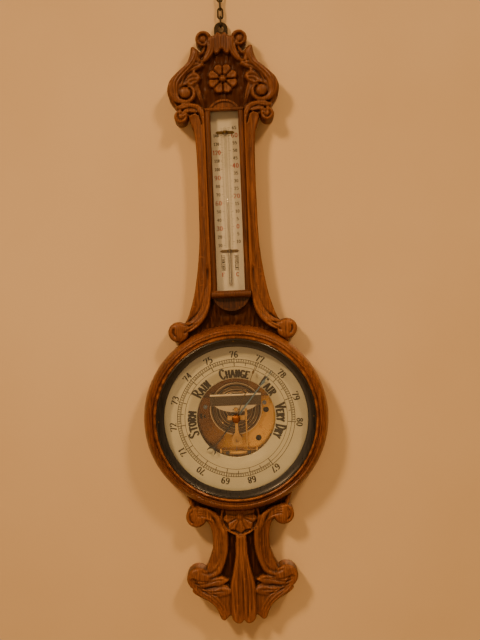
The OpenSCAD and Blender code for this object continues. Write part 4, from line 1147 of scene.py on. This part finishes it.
def lettering(text, height, slim=1.0, gap=0.16, initial=1.0):
    """Text as pen lines centred on the origin. initial enlarges each word's first letter."""
    lines, x = [], 0.0
    for at, letter in enumerate(text):
        size = initial if at == 0 or text[at - 1] == " " else 1.0
        lines += [line * (slim * size, size) + (x, -0.5) for line in GLYPHS.get(letter, ())]
        x += WIDTHS.get(letter, 0.62) * slim * size + gap
    middle = (x - gap) / 2
    return [(line - (middle, 0)) * height for line in lines]


def short_steps(line, step=1.2):
    """The same line with points no further apart than a step."""
    points = [line[0]]
    for a, b in zip(line[:-1], line[1:]):
        count = max(1, math.ceil(math.hypot(*(b - a)) / step))
        points += [a + (b - a) * k / count for k in range(1, count + 1)]
    return np.array(points)


class Print:
    """Thin ink shapes on a surface, whose height above the wall is a function of x and z."""

    def __init__(self, surface):
        self.surface = surface
        self.points = []
        self.faces = []

    def quad(self, *corners):
        first = len(self.points)
        self.points += corners
        self.faces.append(tuple(range(first, first + 4)))

    def stroke(self, line, thick, thin, serif=0.0):
        """A pen line: thick where it runs upright, thin where it runs level."""
        if serif:
            for end in (line[0], line[-1]):
                self.quad(*(end + serif * np.array(p)
                            for p in ((-1.3, -0.2), (-0.2, 0.7), (1.3, 0.2), (0.2, -0.7))))
        line = short_steps(line)
        run = np.diff(line, axis=0)
        run /= np.maximum(np.hypot(run[:, 0], run[:, 1]), 1e-9)[:, None]
        for (x, z), a, b in zip(run, line[:-1], line[1:]):
            side = np.array([-z, x]) * ((thin + (thick - thin) * abs(z) ** 1.5) / 2)
            overlap = np.array([x, z]) * thin * 0.25
            a, b = a - overlap, b + overlap
            self.quad(a - side, b - side, b + side, a + side)

    def text(self, words, at, height, thick, thin, slim=1.0, gap=0.16):
        """Upright text centred at a point."""
        for line in lettering(words, height, slim, gap):
            self.stroke(line + at, thick, thin)

    def text_up(self, words, at, height, thick, thin):
        """Slim text that reads upwards, centred at a point."""
        for line in lettering(words, height, 0.58, 0.15):
            self.stroke(np.stack([-line[:, 1], line[:, 0]], 1) + at, thin, thick)

    def curved_text(self, words, r, turn, height, pen, slim, initial=1.0, serif=0.0):
        """Text set along a circle round the origin, its middle at a clockwise angle."""
        first = len(self.points)
        for line in lettering(words, height, slim, 0.16, initial):
            self.stroke(line, *pen, serif)
        for k in range(first, len(self.points)):
            x, z = self.points[k]
            a = math.radians(turn) + x / r
            self.points[k] = (r + z) * np.array([math.sin(a), math.cos(a)])

    def ring(self, r, width, count=180):
        a = np.linspace(0, 2 * math.pi, count + 1)
        inner, outer = r - width / 2, r + width / 2
        for s, t in zip(a[:-1], a[1:]):
            self.quad(*(q * np.array([math.sin(u), math.cos(u)])
                        for q, u in ((inner, s), (outer, s), (outer, t), (inner, t))))

    def tick(self, inner, outer, turn, width):
        """A line across the scale at a clockwise angle."""
        a = math.radians(turn)
        out, side = np.array([math.sin(a), math.cos(a)]), np.array([math.cos(a), -math.sin(a)])
        half = side * width / 2
        self.quad(out * inner - half, out * outer - half, out * outer + half, out * inner + half)

    def lay(self, name, ink):
        """Makes the shapes a piece of their own, facing forwards."""
        verts = [(x * MM, -(self.surface(x, z) + INK_LIFT) * MM, z * MM) for x, z in self.points]
        mesh = new_mesh(name, verts, self.faces)

        def forwards(bm):
            for face in bm.faces:
                if face.normal.y > 0:
                    face.normal_flip()

        turned_faces(mesh, forwards)
        piece(name, mesh, ink)


INK_LIFT = 0.12
DIAL_FACE = [(54, 27.6), (55, 28.4), (64, 32), (67, 32.8), (71, 33)]    # radius, height
UNIT_TURN = 24.0        # degrees between two figures of the dial
TOP_FIGURE = 76
SCALE_RINGS = ((70.4, 0.6), (76.0, 0.6), (80.6, 0.8))       # radius, breadth
FIGURE_R = 87.2
WORD_R = 60.8
WEATHER = [("STORM", -96, 0.78), ("RAIN", -48, 0.78), ("CHANGE", 0, 0.78), ("FAIR", 48, 0.78),
           ("VERY DRY", 96, 0.64)]      # word, its clockwise angle, slimness


def print_dial():
    ink = Print(lambda x, z: float(np.interp(math.hypot(x, z), *zip(*DIAL_FACE))))
    for r, width in SCALE_RINGS:
        ink.ring(r, width)
    inner, middle, outer = (r for r, _ in SCALE_RINGS)
    for number in range(67, 81):
        turn = (number - TOP_FIGURE) * UNIT_TURN
        ink.tick(inner, outer + 2, turn, 1.0)
        ink.curved_text(str(number), FIGURE_R, turn, 8.4, (1.9, 0.75), 0.9)
        if number == 80:
            continue
        for tenth in range(1, 10):
            step = turn + tenth * UNIT_TURN / 10
            ink.tick(inner + 2 if tenth == 5 else middle, outer, step, 0.9)
            ink.tick(middle, middle + 2.2, step + UNIT_TURN / 20, 0.6)
    for words, turn, slim in WEATHER:
        ink.curved_text(words, WORD_R, turn, 10.4, (3.0, 1.1), slim, 1.32, 1.15)
    ink.lay("dial_print", INK)


CELSIUS_ZERO_Z = 264.0
CELSIUS_PITCH = 2.107
PLATE_HEIGHT = 17.5
TICK_START = 3.9
HALF_TICK = 0.22        # half the breadth of a tick
RED_FIGURE = (6.0, 1.15, 0.5)       # height, thick and thin of the pen
BLACK_FIGURE = (4.1, 0.86, 0.5)


def print_thermometer():
    """Fahrenheit on the left and Celsius on the right, with red figures at the round values."""
    black, red = (Print(lambda x, z: PLATE_HEIGHT) for _ in range(2))

    def level(celsius):
        return CELSIUS_ZERO_Z + celsius * CELSIUS_PITCH

    def tick(side, reach, z):
        low, high = z - HALF_TICK, z + HALF_TICK
        black.quad(*(np.array((side * x, h)) for x, h in
                     ((TICK_START, low), (reach, low), (reach, high), (TICK_START, high))))

    def figure(value, x, z, is_red):
        pen, size = (red, RED_FIGURE) if is_red else (black, BLACK_FIGURE)
        pen.text(str(value), (x, z), *size, 0.74 if value > 99 else 0.95, 0.2)

    for c in range(-14, 66):
        tick(1, 7.4 if c % 10 == 0 else 6.6 if c % 5 == 0 else 5.6, level(c))
        if c % 5 == 0:
            figure(abs(c), 12.9, level(c), c % 20 == 0)
    for f in range(8, 149, 2):
        z = level((f - 32) / 1.8)
        tick(-1, 7.4 if f % 10 == 0 else 5.6, z)
        if f % 10 == 0:
            figure(f, -12.6, z, f % 30 == 0)
    for side, initial, rest in ((-1, "F", "AHRENHEIT"), (1, "C", "ENTIGRADE")):
        black.text_up(rest, (side * 9.3, 214), 5.0, 0.72, 0.45)
        red.text(initial, (side * 9.8, 197.5), 5.4, 1.4, 0.5)
    black.lay("thermometer_print", INK)
    red.lay("thermometer_print_red", RED_INK)


# ---- stage ----

ROOM = 6            # half the breadth of the wall and the floor, in metres
FLOOR_Z = -1.3
WALL_TOP = 4
WALL_GAP = 0.0006   # between the board's back and the wall
AIM = (0, 0, 0.15)
LOW_AIM = (0, 0, -0.1)
WARM = (1.0, 0.60, 0.28)
CAMERA_AT = (0.0105, -1.4246, 0.134)
CAMERA_LEAN = 2.3   # degrees, as the instrument leans in the photograph
CAMERA_VIEW = 35    # degrees, across the longer side


def plaster():
    """Pale plaster, painted."""
    paint = Paint("plaster")
    cloud = paint.noise(3.0, detail=5)
    paint.finish(paint.patches((0.82, 0.63, 0.39), (0.76, 0.57, 0.34), cloud, 0.3, 0.7),
                 paint.uneven(cloud, 0.7, 0.9), paint.noise(260, detail=5), 0.0004, 0.25)
    return paint


def flat_sheet(name, corners, paint):
    mesh = new_mesh(name, corners, [(0, 1, 2, 3)])
    mesh.materials.append(paint.material)
    made = placed(name, mesh)
    return made


def build_stage():
    """A floor, and a wall that only shows from its front."""
    flat_sheet("floor", [(-ROOM, -ROOM, FLOOR_Z), (ROOM, -ROOM, FLOOR_Z), (ROOM, ROOM, FLOOR_Z),
                         (-ROOM, ROOM, FLOOR_Z)], plaster())
    paint = plaster()
    behind = paint.node("ShaderNodeNewGeometry").outputs["Backfacing"]
    clear = paint.node("ShaderNodeBsdfTransparent").outputs[0]
    either = paint.node("ShaderNodeMixShader", {0: behind, 1: paint.shader.outputs[0], 2: clear})
    paint.tree.links.new(either.outputs[0], paint.surface)
    wall = flat_sheet("wall", [(-ROOM, WALL_GAP, FLOOR_Z), (ROOM, WALL_GAP, FLOOR_Z),
                               (ROOM, WALL_GAP, WALL_TOP), (-ROOM, WALL_GAP, WALL_TOP)], paint)
    wall.visible_shadow = False
    wall.visible_diffuse = False


def area_light(name, at, towards, size, power, spread=180):
    lamp = bpy.data.lights.new(name, "AREA")
    lamp.shape = "DISK"
    lamp.size = size
    lamp.energy = power
    lamp.color = WARM
    lamp.spread = math.radians(spread)
    made = placed(name, lamp)
    made.location = at
    made.rotation_mode = "QUATERNION"
    made.rotation_quaternion = (Vector(towards) - Vector(at)).to_track_quat("-Z", "Y")


def build_lights():
    """Two warm lamps high at the sides, a soft fill, one behind, and a dim room."""
    area_light("key", (-1.15, -1.7, 1.6), LOW_AIM, 0.4, 6.5, 74)
    area_light("second", (1.15, -1.6, 1.9), LOW_AIM, 0.4, 5.0, 74)
    area_light("fill", (-0.4, -3.0, -0.3), AIM, 2.4, 11)
    area_light("behind", (0.8, 2.6, 1.6), AIM, 2.0, 40)
    world = bpy.data.worlds.new("studio")
    world.use_nodes = True
    nodes, links = world.node_tree.nodes, world.node_tree.links
    way = nodes.new("ShaderNodeSeparateXYZ")
    links.new(nodes.new("ShaderNodeTexCoord").outputs["Generated"], way.inputs[0])
    lift = nodes.new("ShaderNodeMapRange")
    lift.inputs["From Min"].default_value = -0.4
    lift.inputs["From Max"].default_value = 0.8
    links.new(way.outputs["Z"], lift.inputs["Value"])
    sky = nodes.new("ShaderNodeValToRGB")
    sky.color_ramp.elements[0].color = (0.04, 0.022, 0.010, 1)
    sky.color_ramp.elements[1].color = (0.60, 0.36, 0.17, 1)
    links.new(lift.outputs[0], sky.inputs["Fac"])
    links.new(sky.outputs["Color"], nodes["Background"].inputs["Color"])
    nodes["Background"].inputs["Strength"].default_value = 0.55
    bpy.context.scene.world = world


def build_camera():
    """Level with the middle of the instrument, 1.4 m in front of it."""
    lens = bpy.data.cameras.new("camera")
    lens.sensor_width = 36
    lens.lens = lens.sensor_width / 2 / math.tan(math.radians(CAMERA_VIEW / 2))
    made = placed("camera", lens)
    made.location = CAMERA_AT
    made.rotation_mode = "QUATERNION"
    lean = Matrix.Rotation(math.radians(CAMERA_LEAN), 4, "Y").to_quaternion()
    made.rotation_quaternion = lean @ Vector((0, 1, 0)).to_track_quat("-Z", "Z")
    bpy.context.scene.camera = made


carved_board()
dress_frame()
thermometer_glasswork()
print_dial()
print_thermometer()
build_stage()
build_lights()
build_camera()
